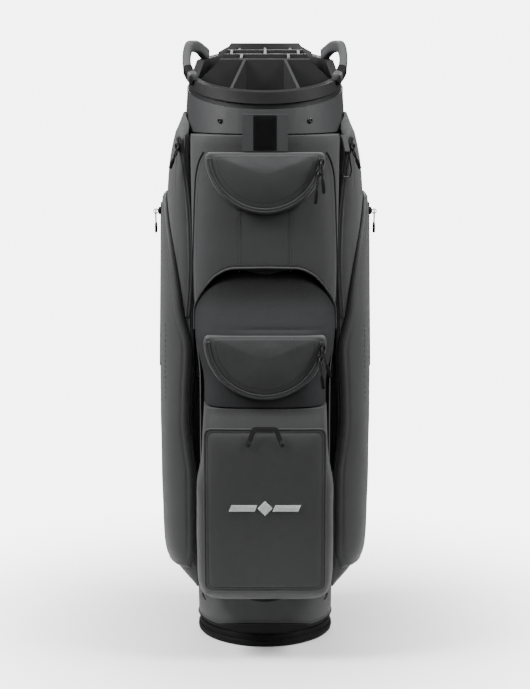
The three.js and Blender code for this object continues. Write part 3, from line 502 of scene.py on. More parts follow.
def front_panel():
    ends, run, by_the_arch = [110, 111, 113, 799, 801], np.linspace(118, 796, 100), np.arange(536, 606, 0.9)
    heights = np.unique(np.concatenate([ends, run, by_the_arch]))
    rings = box_sections(PANEL_ROWS, heights, PANEL_POWER, columns=170)
    x, y, z = rings[..., 0], rings[..., 1], rings[..., 2]
    seam = np.exp(-((np.abs(x) - PANEL_SEAM_X) / 1.6) ** 2) * np.clip((z - 585) / 20, 0, 1)
    rings[..., 1] = y + 1.1 * seam - 0.5 * ripple(x, y, z) * np.clip(np.abs(y - POCKET_REAR_Y) / 20, 0, 1)
    hem = arch_line()
    inside = (z < np.interp(x, hem[:, 0], hem[:, 1])) & (y < -90)
    rings[..., 1] += np.where(inside, ARCH_RECESS + 6, 0)
    lofted("front_panel_fabric", rings, "shell", stands_for=("front_panel",))
    for label, side in SIDES:
        edge = np.array([[92, 776], [99, 764], [104, 742], [106.3, 700], [108, 650], [109.2, 600],
                         [108.5, 560], [106, 520], [103, 480]])
        path = rounded(resampled(edge, 3), 18)
        seam = facing(path * [side, 1], panel_y(*path.T) - 0.2)
        swept(f"front_panel_seam_{label}", seam, circle(1.25), "seam")
        inner = seam + [-side * 4.5, 0, 0]
        inner[:, 1] = panel_y(inner[:, 0], inner[:, 2]) - 0.25
        column = np.array([[side * (PANEL_SEAM_X + 3), z] for z in np.arange(596, 700, 3.0)])
        flat = facing(column, panel_y(*column.T) - 0.3)
        stitches(f"front_panel_stitches_{label}", [inner, flat], out=FRONT)


def d_outline(d, inset, count=150):
    """A half disc with a straight top and eased corners, drawn in by an inset all round, as (x, z) points."""
    radius, top = d["radius"] - inset, d["centre"] + d["top"] - 0.35 * inset
    start = math.asin(max(min((top - 2 - d["centre"]) / radius, 0.9), -0.9))
    turn = np.linspace(math.pi - start, 2 * math.pi + start, 120)
    arc = np.column_stack([radius * np.cos(turn), d["centre"] + radius * np.sin(turn)])
    edge = radius * math.cos(start)
    shape = np.vstack([[[0, top], [-edge + 2, top]], arc, [[edge - 2, top]]])
    path = resampled(shape, 1.0, closed=True)
    path = rounded(path, min(13.0, radius * 0.3), closed=True)
    return spread(resampled(path, 1.0, closed=True), count)


def d_pocket(name, d, node_name, bulge=5.0):
    """The pocket's wall, the ledge that carries the zip, and the crowned flap inside the zip."""
    wall = d["root"] - d["face"]
    stations = [(-wall, 0), (-wall * 0.6, 0.4), (-9, 0.2), (-5, 0), (-2.6, 0.5), (-1.0, 1.6), (-0.2, 3),
                (0.25, 4.6), (0.4, 7.6), (0.6, 9.2), (0.9, 10.4), (1.25, 12), (1.6, 14), (1.9, 16.2),
                (2.1, 17.4), (2.3, 18.6)]
    rings = [facing(d_outline(d, inset), d["face"] - out) for out, inset in stations]
    rim = rings[-1]
    middle = rim.mean(axis=0)
    for share in np.linspace(0.06, 0.98, 16):
        crown = middle + (rim - middle) * (1 - share)
        crown[:, 1] = rim[:, 1] - bulge * math.sin(share * math.pi / 2)
        rings.append(crown)
    rings = np.array(rings)
    soft = np.clip((np.arange(len(rings)) - 15) / 6, 0, 1)[:, None]
    rings[..., 1] -= 0.9 * soft * ripple(rings[..., 0] * 1.6, 0, rings[..., 2] * 1.4)
    piece = lofted(name, rings, "shell", stands_for=(node_name,) if node_name else ())
    path = facing(d_outline(d, 17.6), d["face"] - 2.15)
    stitches(f"{name}_stitches", [np.vstack([path, path[:1]])], "seam", out=FRONT)
    return piece


# Rows of [height, half width, front face].
COOLER_ROWS = [[389, 91.5, -160], [393, 92.6, -162.5], [397, 93.2, -163.4], [407, 93.2, -163.4],
               [420, 93, -163.4], [440, 94.5, -163.4], [460, 99, -163.4], [480, 103.5, -163.4],
               [500, 106.5, -162.5], [520, 107, -157], [536, 106, -150], [547, 102.5, -143.5],
               [557, 98, -137], [567, 92, -131], [577, 85, -125], [587, 75.5, -119], [595, 64, -113],
               [600, 50, -108]]
BALL_ROWS = [[88, 76, -120], [90, 84, -138], [94, 91, -152], [104, 98, -168], [114, 101.4, -175],
             [126, 103, -178], [180, 104, -178.4], [266, 104, -178.4], [282, 102, -178.4],
             [300, 98.6, -178.2], [325, 96, -178], [345, 95, -177], [362, 94.5, -174], [376, 94, -169.5],
             [388, 93.5, -165.2], [395.9, 93.2, -163.2]]
# The left half of the hem over the cooler pocket, as (x, z) points.
ARCH = [[-108, 505], [-108, 530], [-106.5, 543], [-100, 558], [-90, 574], [-77, 589], [-62, 598.5],
        [-50, 602], [0, 603]]
ARCH_RECESS = 17.0
BALL_POWER = 7.0
BALL_FACE = -178.4


def arch_line():
    """The hem of the front panel over the cooler pocket, as (x, z) points from left to right."""
    half = np.array(ARCH, float)
    return rounded(resampled(np.vstack([half, half[-2::-1] * [-1, 1]]), 2.0), 9)


def cooler_pocket():
    heights = levels(397, 603, 64, 405, 600, 60)
    rings = box_sections(COOLER_ROWS, heights, 4.4, columns=110)
    x, y, z = rings[..., 0], rings[..., 1], rings[..., 2]
    depth = np.clip(np.abs(y - POCKET_REAR_Y) / 30, 0, 1)
    crease = 1.4 * np.exp(-((z - 514) / 2.2) ** 2) * np.exp(-((x - 20) / 60) ** 4)
    rings[..., 1] = y - depth * (0.9 * ripple(x, y, z) - crease)
    lofted("cooler_pocket_fabric", rings, "cooler", stands_for=("cooler_pocket",))
    d_pocket("cooler_flap_fabric", COOLER_D, None, bulge=3.5)

    # The front panel's hem hangs over the top of the pocket: a bound edge, and behind it a strip that closes
    # the recess under the hem, coloured near-black as painted shade.
    arch = arch_line()
    y = panel_y(arch[:, 0] * 0.985, arch[:, 1]) - 0.4
    path = facing(arch, y)
    swept("cooler_arch_binding", path, bar(3.4, 3.0, 2.4), "shell")
    above = facing(arch + [0, 4.5], y - 0.2)[16:-16]
    stitches("cooler_arch_stitches", [above], "seam", out=FRONT)
    depth = np.linspace(0, 1, 10)[:, None]
    hood = path[None, :, :] + np.stack([0 * depth, depth * ARCH_RECESS, 0.4 - 1.2 * depth], axis=-1)
    lofted("cooler_arch_painted_shade", hood, "lining", closed=False, caps=False)


def ball_pocket():
    heights = levels(88, 394.5, 60, 100, 388, 70)
    rings = box_sections(BALL_ROWS, heights, BALL_POWER, columns=110)
    x, y, z = rings[..., 0], rings[..., 1], rings[..., 2]
    depth = np.clip(np.abs(y - POCKET_REAR_Y) / 40, 0, 1)
    sag = 1.2 * np.sin((z - 88) / 306 * math.pi) * np.sign(x) * np.clip((np.abs(x) - 85) / 18, 0, 1)
    rings[..., 0] = x + sag + 0.8 * np.sign(x) * depth * ripple(y * 1.5, x, z * 1.3)
    rings[..., 1] = y + depth * 0.4 * ripple(x, y, z)
    lofted("ball_pocket_fabric", rings, "shell", stands_for=("ball_pocket",))
    # Under the pocket: a dark bar on the trunk, painted shadow of the recess under the pocket's bottom hem,
    # and at each lower corner a small raised fold coloured near-black as painted fold shadow.
    share = np.linspace(-1, 1, 60)
    x = 37 * share
    z = 78.5 + 6.5 * share ** 2
    shadow_arc = np.column_stack([x, -np.sqrt(108.6 ** 2 - x ** 2), z])
    # Painted shadow: a thin near-black bar, not a slot.
    swept("trunk_painted_shadow", shadow_arc, bar(7.5, 1.2, 2.2), "seam", scale=np.sqrt(np.clip(1.02 - share ** 2, 0.02, 1)))
    for label, side in SIDES:
        # Painted shadow: a small raised fold coloured near-black for the shade in the fold.
        fold_shadow_path = [[91.5, -152.5, 93.5], [92.6, -159.5, 98], [94, -166.5, 103.5], [95, -170, 109]]
        swept(f"ball_pocket_dart_{label}", resampled(mirrored(fold_shadow_path, side), 1.0), bar(2.6, 1.6, 2.4), "seam")


def panel_outline(inset):
    half, low, high = 91 - inset, 116 + inset, 366 - inset
    path = resampled([[-half, low], [half, low], [half, high], [-half, high]], 1.0, closed=True)
    return rounded(path, 21 - inset * 0.5, closed=True)


def hugged(points):
    """Lays points of the flat panel back towards the pocket wherever the pocket curves away from it."""
    half, front = keyed(BALL_ROWS, points[..., 2].ravel()).T
    share = np.clip(np.abs(points[..., 0].ravel()) / half, 0, 0.995)
    y = POCKET_REAR_Y + (front - POCKET_REAR_Y) * (1 - share ** BALL_POWER) ** (1 / BALL_POWER)
    back = np.clip(y - BALL_FACE, 0, None).reshape(points.shape[:-1])
    points = points.copy()
    points[..., 1] += 12 * np.tanh(back / 12)
    return points


def ball_panel():
    """The stitched-on panel of the ball pocket, piped round and a little crowned."""
    stations = [(-0.4, 0.4), (0.6, 0), (1.8, 0.3), (2.6, 1.4), (2.9, 3), (2.5, 4.6), (2.3, 5.2), (2.6, 6),
                (3.1, 8), (3.4, 12), (3.8, 22), (4.2, 36), (4.5, 54), (4.6, 74)]
    rings = np.array([facing(spread(panel_outline(inset), 400), BALL_FACE - 0.2 - out * 0.82)
                      for out, inset in stations])
    inner = np.clip((np.arange(len(rings)) - 8) / 4, 0, 1)[:, None]
    rings[..., 1] -= 0.55 * inner * ripple(rings[..., 0], 0, rings[..., 2])
    lofted("ball_panel_fabric", hugged(rings), "shell", stands_for=("ball_panel",))
    pipe = resampled(facing(panel_outline(0), BALL_FACE - 2.2), 3, closed=True)
    swept("ball_panel_piping", hugged(pipe), circle(1.5, 10), "shell", closed=True)
    path = facing(panel_outline(5.0), BALL_FACE - 2.35)
    stitches("ball_panel_stitches", [hugged(path)], "seam", out=FRONT)


def emblem():
    """A plain embroidered mark: a diamond between two bars, in white satin stitch."""
    centre_z, y = 246.0, -182.9
    lines = []
    for start, end in ((-54, -15.9), (12, 50.1)):
        lines += [([x, centre_z - 5.0], [x + 4, centre_z + 5.0]) for x in np.arange(start, end, 0.9)]
    for x in np.arange(-10.5, 10.6, 0.9):
        reach = 11.5 - abs(x)
        lines.append(([x, centre_z - reach], [x + 0.01, centre_z + reach]))
    verts, faces = [], []
    for (x0, z0), (x1, z1) in lines:
        start = len(verts)
        for x, z, lift in ((x0, z0, 0.1), ((x0 + x1) / 2, (z0 + z1) / 2, 0.75), (x1, z1, 0.1)):
            verts += [[x - 0.42, y + 0.3, z], [x, y - lift, z], [x + 0.42, y + 0.3, z]]
        for row in (0, 3):
            for k in (0, 1):
                a = start + row + k
                faces.append((a, a + 1, a + 4, a + 3))
    mesh_piece("emblem_satin", verts, faces, "white")


# ---------------------------------------------------------------- side pockets
# Rows of [height, outer face, inner edge, front, back, power]. The upright rows share one front and back.
SIDE_UPRIGHT = [[150, 153.5, 106, 2.6], [204, 155.5, 106, 2.6], [266, 156.5, 106.5, 2.6],
                [310, 157, 112, 2.6], [356, 157, 116.5, 2.6], [400, 157, 115, 2.6], [503, 156.5, 110, 2.6],
                [650, 154, 112.5, 2.6], [744, 149, 114.5, 3.4]]
SIDE_ROWS = [
    [84, 113, 106, -58, 70, 2.6], [104, 134, 106, -66, 80, 2.6], [124, 148, 106, -70, 86, 2.6],
    *([z, outer, inner, SIDE_FRONT_Y, SIDE_BACK_Y, power] for z, outer, inner, power in SIDE_UPRIGHT),
    [800, 138.5, 115.5, SIDE_FRONT_Y, 84, 3.4], [812, 133.5, 115, -52, 78, 3.0],
    [830, 126.5, 113, -20, 70, 2.6],
]
POUCH_EDGE = [[118, 118], [150, 108.5], [262, 108.5], [310, 113.5], [356, 117.5], [400, 116.5], [470, 113],
              [525, 125], [567, 131], [618, 139], [672, 148], [708, 152]]
POUCH_BACK = [[118, 66], [130, 78], [150, 82], [560, 82], [660, 72], [700, 52], [708, 36]]
POUCH_SKIN = 6.0


def side_surface(z, turn, grow):
    """Points of the right-hand pocket, at turns from -90 degrees at its front edge to 90 at its back edge."""
    outer, inner, front, back, power = (column[:, None] for column in keyed(SIDE_ROWS, z).T)
    start = np.where(turn < 0, inner, SIDE_BACK_X)
    x = start + (outer + grow - start) * np.abs(np.cos(turn)) ** (2 / power)
    edge = np.where(turn < 0, front - grow, back + grow)
    y = SIDE_MIDDLE_Y + (edge - SIDE_MIDDLE_Y) * np.abs(np.sin(turn)) ** (2 / power)
    return np.stack([x, y, np.broadcast_to(z[:, None], x.shape)], axis=-1)


def clear_of_tube(points):
    """Pushes points out to just beyond the tube, or beyond the collar above its lower edge."""
    radius = np.hypot(points[..., 0], points[..., 1])
    z = points[..., 2]
    least = np.where(z > COLLAR_BOTTOM - 2, COLLAR_BOTTOM_RADIUS + 0.7, body_radius(z) + 0.5)
    push = np.maximum(least / np.maximum(radius, 1), 1)
    points[..., :2] *= push[..., None]
    return points


def mirrored(points, side):
    points = np.array(points, float)
    points[..., 0] *= side
    return points


def side_line(z, turn, grow, side):
    """A line down the pocket, at one turn or at one for each height."""
    turn = np.broadcast_to(np.reshape(turn, (-1, 1)), (len(z), 1))
    return mirrored(side_surface(z, turn, np.full((len(z), 1), grow))[:, 0], side)


def side_pocket(label, side):
    z = levels(84, 830, 50, 90, 826, 90)
    turn = np.linspace(-math.pi / 2, math.pi / 2, 64)[None, :]
    shell = side_surface(z, turn, np.zeros((len(z), 64)))
    wave = 0.8 * ripple(shell[..., 1] * 1.2, shell[..., 0], shell[..., 2] * 0.8)
    away = np.stack([np.cos(turn) + 0 * z[:, None], np.sin(turn) + 0 * z[:, None], 0 * wave], axis=-1)
    shell = shell + away * wave[..., None] * np.clip(np.cos(turn) * 3, 0, 1)[..., None]
    inner_turn = np.radians(np.linspace(46, -14, 12))
    radius = body_radius(z)[:, None] + 0.5
    inner = around(radius, inner_turn, z)
    rings = clear_of_tube(np.concatenate([shell, inner], axis=1))
    lofted(f"apparel_pocket_fabric_{label}", mirrored(rings, side), "side",
           stands_for=(f"apparel_pocket_{label}",))

    # A raised seam runs down the pocket's front corner, and a row of stitches beside it.
    z = np.linspace(120, 800, 170)
    swept(f"apparel_corner_seam_{label}", side_line(z, -math.radians(86), 0.5, side), circle(1.1), "piping")
    beside = side_line(z[z >= 560], -math.radians(64), 0.2, side)
    stitches(f"apparel_stitches_{label}", [beside], out=np.array([0.45 * side, -0.9, 0]))


def side_pouch(label, side):
    z = levels(118, 708, 60, 124, 700, 56)
    outer, inner, _, back, power = keyed(SIDE_ROWS, z).T
    edge = keyed(POUCH_EDGE, z)[:, 0]
    rear = keyed(POUCH_BACK, z)[:, 0]
    share = np.clip((edge - inner) / (outer - inner), 0, 1)
    start = -np.arccos(share ** (power / 2))
    end = np.arcsin(np.clip((rear - SIDE_MIDDLE_Y) / (back - SIDE_MIDDLE_Y), 0, 1) ** (power / 2))
    turn = start[:, None] + (end - start)[:, None] * eased(64)[None, :]
    flat = side_surface(z, turn, np.zeros(turn.shape))
    step = np.linalg.norm(np.diff(flat, axis=1), axis=2)
    run = np.concatenate([np.zeros((len(z), 1)), np.cumsum(step, axis=1)], axis=1)
    near = np.minimum(run, run[:, -1:] - run)
    near = np.minimum(near, np.minimum(z - 118, 708 - z)[:, None])
    waves = 0.9 * crowned(near, 20) * ripple(flat[..., 1], 0, flat[..., 2])
    grow = 0.4 + POUCH_SKIN * crowned(near, 9) + 2.6 * crowned(near, 60) + waves
    stitch_dent = 0.9 * np.exp(-((near - 11) / 1.3) ** 2)
    rings = mirrored(side_surface(z, turn, grow - stitch_dent), side)
    lofted(f"side_pouch_fabric_{label}", rings, "side", closed=False, caps=False,
           stands_for=(f"side_pouch_{label}",))

    # The bound edge of the pouch, and its stitches.
    edge_line = side_line(z, start, 0.9, side)[z > 330]
    swept(f"side_pouch_piping_{label}", resampled(edge_line, 3), circle(1.2), "seam")
    second = side_line(z, start + 0.34, 6.4, side)[(z > 380) & (z < 640)]
    stitches(f"side_pouch_second_seam_{label}", [second], "seam", length=3.4, gap=0.7, width=0.8,
             out=np.array([0.5 * side, -0.85, 0]))
    dashes = side_line(z, -math.radians(43), 9.9, side)[(z > 388) & (z < 512)]
    stitches(f"side_pouch_dashes_{label}", [dashes], "thread", length=4.2, gap=4.0, width=0.8,
             out=np.array([0.7 * side, -0.7, 0]))
    column = int(np.argmin(np.abs(run[len(z) // 2] - 11)))
    line = rings[6:-6, column]
    stitches(f"side_pouch_stitches_{label}", [line], out=np.array([0.6 * side, -0.8, 0]))


def gusset_strip(label, side):
    """The pleated black strip sunk between the front and side pockets."""
    z = np.linspace(262, 424, 60)
    outer = keyed([[262, 104.2], [300, 108], [356, 113], [393, 112], [424, 109]], z)[:, 0]
    across = np.linspace(0, 1, 25)[None, :]
    x = 98 + (outer[:, None] - 98) * across
    y = -66 + 2.2 * (1 - np.cos(across * 6 * math.pi)) / 2 + 0.8 * np.sin(z * 0.11)[:, None] * across
    rings = np.stack([x, y, z[:, None] + 0 * x], axis=-1)
    back = rings[:, ::-1].copy()
    back[..., 1] += 2.5
    lofted(f"gusset_pleats_{label}", mirrored(np.concatenate([rings, back], axis=1), side), "lining",
           stands_for=(f"gusset_{label}",))


# ---------------------------------------------------------------- zips
def zipper(name, path, out, node_name, width=7.0):
    """A tape with a woven film, two lips and a row of coil teeth between them."""
    path = resampled(path, 2.0)
    out = np.broadcast_to(np.asarray(out, float), path.shape)
    along = directions(path)
    across = np.cross(along, out)
    tape = swept(f"{name}_tape", path + out * 0.5, bar(width, 1.0), "zip", out=out, stands_for=(node_name,))
    for label, way in (("a", 1), ("b", -1)):
        lip = path + across * way * (width * 0.27) + out * 1.3
        swept(f"{name}_lip_{label}", lip, bar(width * 0.45, 0.9, 2.4, 10), "shell", out=out)
    points = resampled(path, 1.7)
    verts, faces = [], []
    lift = out[0]
    for middle, way in zip(points, directions(points)):
        first = len(verts)
        sideways = np.cross(way, lift)
        for at in (middle - sideways, middle + sideways):
            verts += [at + lift - way * 0.55, at + lift * 1.75, at + lift + way * 0.55]
        faces += [(first, first + 1, first + 4, first + 3), (first + 1, first + 2, first + 5, first + 4),
                  (first, first + 2, first + 1), (first + 3, first + 4, first + 5)]
    mesh_piece(f"{name}_teeth", verts, faces, "zip")
    return tape


def arc_points(centre, radius, start, end, y):
    turn = np.radians(np.linspace(start, end, 90))
    return facing(np.column_stack([np.cos(turn), np.sin(turn)]) * radius + centre, y)


def zips():
    for name, d, start, end in (("upper_zip", UPPER_D, -4, -176), ("cooler_zip", COOLER_D, -1, -179)):
        path = arc_points((0, d["centre"]), d["radius"] - 6, start, end, d["face"] - 0.4)
        zipper(f"{name}_run", path, FRONT, name)
    for label, side in SIDES:
        centre, radius, top, bottom = (1014, 620), 900, 796, 520
        start, end = (180 - math.degrees(math.asin((z - centre[1]) / radius)) for z in (top, bottom))
        path = arc_points(centre, radius, start, end, SIDE_FRONT_Y - 0.4)
        zipper(f"apparel_zip_run_{label}", mirrored(path, side), FRONT, f"apparel_zip_{label}")
        line = np.array([[162.0, SIDE_MIDDLE_Y, 690], [166.3, SIDE_MIDDLE_Y, 430]])
        outward = np.array([side, 0.0, 0.0])
        zipper(f"pouch_zip_run_{label}", mirrored(line, side), outward, f"pouch_zip_{label}")


def pulls():
    """Each pull is a cord loop through its slider's eye, with a moulded grip at its end."""
    for joint in frame["record"]["behaviour"]["joints"]:
        if not joint["name"].endswith("_pull_swing"):
            continue
        name = joint["name"][: -len("_swing")]
        pivot = np.array(joint["pos_m"]) / MM
        axis = np.array(joint["axis"], float)
        side = math.copysign(1, pivot[0])
        out = np.array([side, 0.0, 0.0]) if name.startswith("pouch") else FRONT
        down = np.cross(axis, -out)
        length = 44.0 if name.startswith(("upper", "cooler")) else 34.0
        body = joint["child"]
        grip_start = length * 0.5
        share = np.linspace(0, 1, 14)
        bow = np.outer(1.35 * np.sin(share * math.pi) ** 0.7, axis)
        line = (pivot + np.outer(share * (grip_start + 2) - 1.6, down)
                + np.outer(np.sin(share * math.pi) * 0.3, out))
        loop = np.vstack([(line + bow)[::-1], (line - bow)[1:]])
        cord = swept(f"{name}_cord", resampled(loop, 1.2), circle(1.15), "web", out=out, body=body,
                     stands_for=(name,))
        turn = np.linspace(0, 2 * math.pi, 28, endpoint=False)
        eye = pivot + 3.5 * (np.outer(np.cos(turn), out) + np.outer(np.sin(turn), np.cross(axis, out)))
        swept(f"{name}_eye", eye, circle(0.8), "metal", out=axis, closed=True, parent=cord)
        share = np.linspace(0, 1, 22)
        path = pivot + np.outer(grip_start + share * (length - grip_start), down)
        girth = 0.75 + 0.35 * np.sin(np.clip(share * 3, 0, 1) * math.pi / 2) + 0.06 * np.sin(share * 34)
        girth[-1], girth[-2], girth[0] = 0.45, 0.9, 0.6
        swept(f"{name}_grip", path, bar(4.8, 4.0, 2.6, 12), "rubber", out=out, scale=girth, parent=cord)


# ---------------------------------------------------------------- loops and ring
def grab_loop():
    corners = [[-27, 341.5], [-24, 347], [-16.5, 368.5], [16.5, 368.5], [24, 347], [27, 341.5]]
    path = rounded(resampled(corners, 1.2), 5)
    lift = 1.2 * np.sin(np.clip((path[:, 1] - 341) / 28, 0, 1) * math.pi / 2)
    points = np.column_stack([path[:, 0], -183.0 - lift, path[:, 1]])
    loop = swept("grab_loop_webbing", points, bar(7.5, 1.7, 4), "web", body="grab_loop",
                 stands_for=("grab_loop",))
    tacks = [[[side * 24.2 - 2.8, -184.3, z], [side * 24.2 + 2.8, -184.3, z + 0.4]]
             for side in (-1, 1) for z in 345.5 + 1.1 * np.arange(5)]
    stitches("grab_loop_tacks", tacks, "thread", length=5.0, gap=0.4, width=0.4, out=FRONT, parent=loop)


TOWEL_TURN = math.radians(25)
TOWEL_AT = np.array([118.0, -77.0, 799.0])


def towel_point(across, forward, up):
    """A point of the towel holder from its own turned frame."""
    cos, sin = math.cos(TOWEL_TURN), math.sin(TOWEL_TURN)
    return TOWEL_AT + [cos * across + sin * forward, sin * across - cos * forward, up]


def towel_holder():
    out = towel_point(0, 1, 0) - TOWEL_AT
    side_view = [[-0.6, 0], [4, -9], [9.5, -20], [11.6, -23.6], [13.6, -25.2], [14.4, -23.2], [13, -20],
                 [7.5, -9], [2.6, 0]]
    path = rounded(resampled(side_view, 0.8), 2.5)
    points = np.array([towel_point(0, y, z) for y, z in path])
    upward = np.cross(directions(points), towel_point(1, 0, 0) - TOWEL_AT)
    swept("towel_tab_webbing", points, bar(9.0, 1.1, 5), "piping", out=upward, stands_for=("towel_tab",))
    corners = [[3.4, 0.2], [-3.4, 0.2], [-8.7, -28.5], [-5.6, -37.0], [5.6, -37.0], [8.7, -28.5]]
    wire = rounded(resampled(corners, 0.8, closed=True), 3.0, closed=True)
    ring = np.array([towel_point(x, 12, -23.5 - 1.6 + z) for x, z in wire])
    swept("towel_ring_wire", ring, circle(1.15, 10), "steel", out=out, closed=True, body="towel_ring",
          stands_for=("towel_ring",))


# ---------------------------------------------------------------- spine and strap
def spine_pad():
    half = math.radians(34)
    z = levels(96, 798, 70, 100, 794, 150)
    across = -1 + 2 * eased(60)
    angle = math.pi / 2 - half * across
    edge = (1 - np.abs(across)) * half * 120
    near = np.minimum(edge[None, :], np.minimum(z - 96, 798 - z)[:, None])
    swell = crowned(near, 14)
    channel = np.exp(-(((z - 96) % 78 - 39) / 3.2) ** 2)[:, None] * np.clip(edge / 16, 0, 1)[None, :]
    rib = np.exp(-((np.abs(across) * half * 120 - 42) / 2.4) ** 2)[None, :]
    radius = body_radius(z)[:, None] + 0.6 + 8.4 * swell - 3.2 * channel - 2.6 * rib * (swell > 0.9)
    radius = radius + 0.5 * ripple(across[None, :] * 70, 0, z[:, None])
    outer = around(radius, angle, z)
    under = (body_radius(z) + 0.5)[:, None] + 0 * radius
    rings = np.concatenate([outer, around(under, angle, z)[:, ::-1]], axis=1)
    pad = lofted("spine_pad_quilted", rings, "shell", stands_for=("spine_pad",))
    border = np.vstack([outer[2:-2, 1], outer[-3, 1:-1], outer[-3:2:-1, -2]])
    swept("spine_pad_piping", resampled(border, 3), circle(1.5), "seam", out=np.array([0.0, 1.0, 0.0]))


def settled(piece, name):
    """Replaces a piece's mesh by its shape with all modifiers applied."""
    graph = bpy.context.evaluated_depsgraph_get()
    graph.update()
    mesh = bpy.data.meshes.new_from_object(piece.evaluated_get(graph))
    mesh.name = name
    piece.modifiers.clear()
    piece.data = mesh
    return mesh


def puffed(piece, voxel, cap):
    """Fills a pad with air in a short cloth simulation, and lets no point move farther than the cap."""
    grid = piece.modifiers.new("grid", "REMESH")
    grid.mode = "VOXEL"
    grid.voxel_size = voxel
    mesh = settled(piece, f"{piece.name}_slack")
    slack = np.empty(len(mesh.vertices) * 3)
    mesh.vertices.foreach_get("co", slack)
    cloth = piece.modifiers.new("air", "CLOTH")
    cloth.settings.use_pressure = True
    cloth.settings.uniform_pressure_force = 4
    cloth.settings.effector_weights.gravity = 0
    for frame_number in range(1, 21):
        bpy.context.scene.frame_set(frame_number)
    mesh = settled(piece, f"{piece.name}_puffed")
    bpy.context.scene.frame_set(1)
    full = np.empty_like(slack)
    mesh.vertices.foreach_get("co", full)
    move = (full - slack).reshape(-1, 3)
    far = np.linalg.norm(move, axis=1, keepdims=True)
    move *= cap * np.tanh(far / cap) / np.maximum(far, 1e-9)
    mesh.vertices.foreach_set("co", slack + move.ravel())
    mesh.polygons.foreach_set("use_smooth", [True] * len(mesh.polygons))
    smoother = piece.modifiers.new("round", "SUBSURF")
    smoother.levels = smoother.render_levels = 1


def shoulder_strap():
    y = STRAP_AXIS_Y
    route = [[y, STRAP_TOP], [y + 12, 730], [y + 26, 660], [y + 30, 570], [y + 22, 480], [y + 9, 420],
             [y, STRAP_BOTTOM]]
    curve = smooth_route(route, 90, 30)
    path = np.column_stack([np.zeros(len(curve)), curve])
    outward = np.cross(directions(path), np.array([1.0, 0.0, 0.0]))
    outward *= np.sign(outward[len(outward) // 2, 1])
    swept("strap_webbing", path, bar(25, 2.2, 7), "web", out=outward, body="shoulder_strap",
          stands_for=("strap_web",))
    padded = (path[:, 2] < 697) & (path[:, 2] > 457)
    middle_out = outward[padded]
    middle = path[padded] + middle_out * 6.6
    share = np.linspace(0, 1, len(middle))
    width = 0.42 + 0.58 * np.clip(share * (1 - share) * 12, 0, 1) ** 0.5
    ribs = 1 - 0.05 * np.exp(-((share * 6 % 1 - 0.5) / 0.07) ** 2)
    pad = swept("strap_pad_quilted", middle, bar(52, 7.5, 2.6, 40), "shell", out=middle_out,
                scale=width * ribs, body="shoulder_strap", stands_for=("strap_pad",))
    puffed(pad, voxel=4 * MM, cap=5 * MM)
    lifted = middle + middle_out * 6.2 * width[:, None]
    rim = [(lifted + np.outer(width * way * 19, [1, 0, 0]))[3:-3] for way in (1, -1)]
    stitches("strap_pad_stitches", rim, out=np.array([0.0, 1.0, 0.0]), parent=pad)

    # Each end of the strap is held by a folded webbing tab that is box-stitched to the spine.
    for label, z, way in (("upper", STRAP_TOP, 1), ("lower", STRAP_BOTTOM, -1)):
        root = float(body_radius(z)) + 9.2
        fold = [[root, z + way * 18], [root + 2, z + way * 12], [y - 3, z + way * 6], [y + 2.6, z + way * 3],
                [y + 3.4, z + way * 6.5], [y + 1.5, z + way * 9.5], [root + 5, z + way * 14],
                [root + 1.6, z + way * 19]]
        path = rounded(resampled(np.array(fold), 0.8), 2.5)
        points = np.column_stack([np.zeros(len(path)), path])
        normal = np.cross(directions(points), np.array([1.0, 0.0, 0.0]))
        swept(f"strap_tab_{label}", points, bar(28, 1.5, 7), "web", out=normal,
              stands_for=(f"strap_anchor_{label}",))


# ---------------------------------------------------------------- collar and top
def glove_patch():
    """The hook tape let into the collar's tab, with a sewn border and a field of short loops."""
    half, low, high, face = 17, 779, 830, -129.4
    rings = []
    for out, inset in ((0, 0), (1.2, 0), (1.9, 0.5), (2.2, 1.4), (1.7, 2.4), (2.1, 3.4), (2.3, 6), (2.3, 12)):
        x, bottom, top = half - inset, low + inset, high - inset
        path = resampled([[-x, bottom], [x, bottom], [x, top], [-x, top]], 1.0, closed=True)
        rings.append(facing(spread(rounded(path, 3, closed=True), 150), face - out))
    lofted("glove_patch_tape", rings, "hook", stands_for=("glove_patch",))
    seed = np.random.default_rng(7)
    verts, faces = [], []
    for x in np.arange(-13.2, 13.3, 1.2):
        for z in np.arange(783.5, 826, 1.2):
            at = np.array([x + seed.uniform(-0.4, 0.4), face - 2.1, z + seed.uniform(-0.4, 0.4)])
            tip = at + [seed.uniform(-0.5, 0.5), -0.7, seed.uniform(-0.5, 0.5)]
            start = len(verts)
            verts += [at + [-0.35, 0, 0], at + [0.35, 0, 0], at + [0, 0, 0.4], tip]
            faces += [(start + k, start + (k + 1) % 3, start + 3) for k in range(3)]
    mesh_piece("glove_patch_loops", verts, faces, "hook")


HANDLE_PATH = [[108, -56.5, 882], [117, -42, 893], [120.5, -14, 914], [117, 18, 931], [108, 46, 931],
               [94.5, 73, 918]]


def handle(label, side):
    """A moulded handle: flat-sided, thinner in the middle, with finger ribs inside."""
    path = smooth_route(HANDLE_PATH, 110, 22)
    share = np.linspace(0, 1, len(path))
    outward = np.array([side, 0.0, 0.0])
    girth = 1.0 + 0.16 * (np.exp(-(share / 0.08) ** 2) + np.exp(-((1 - share) / 0.08) ** 2))
    ribbed = (share > 0.25) & (share < 0.75)
    girth = girth - 0.025 * np.where(ribbed, 0.5 - 0.5 * np.cos(share * 2 * math.pi * 22), 0)
    swept(f"handle_grip_{label}", mirrored(path, side), bar(18.5, 13, 3.2, 28), "handle",
          out=outward, scale=girth, stands_for=(f"handle_{label}",))
    shoe = path[(share > 0.04) & (share < 0.17)]
    swell = np.full(len(shoe), 1.0)
    swell[0], swell[-1] = 0.9, 0.93
    swept(f"handle_shoe_{label}", mirrored(shoe, side), bar(20.5, 15, 3.0, 28), "rubber", out=outward,
          scale=swell)


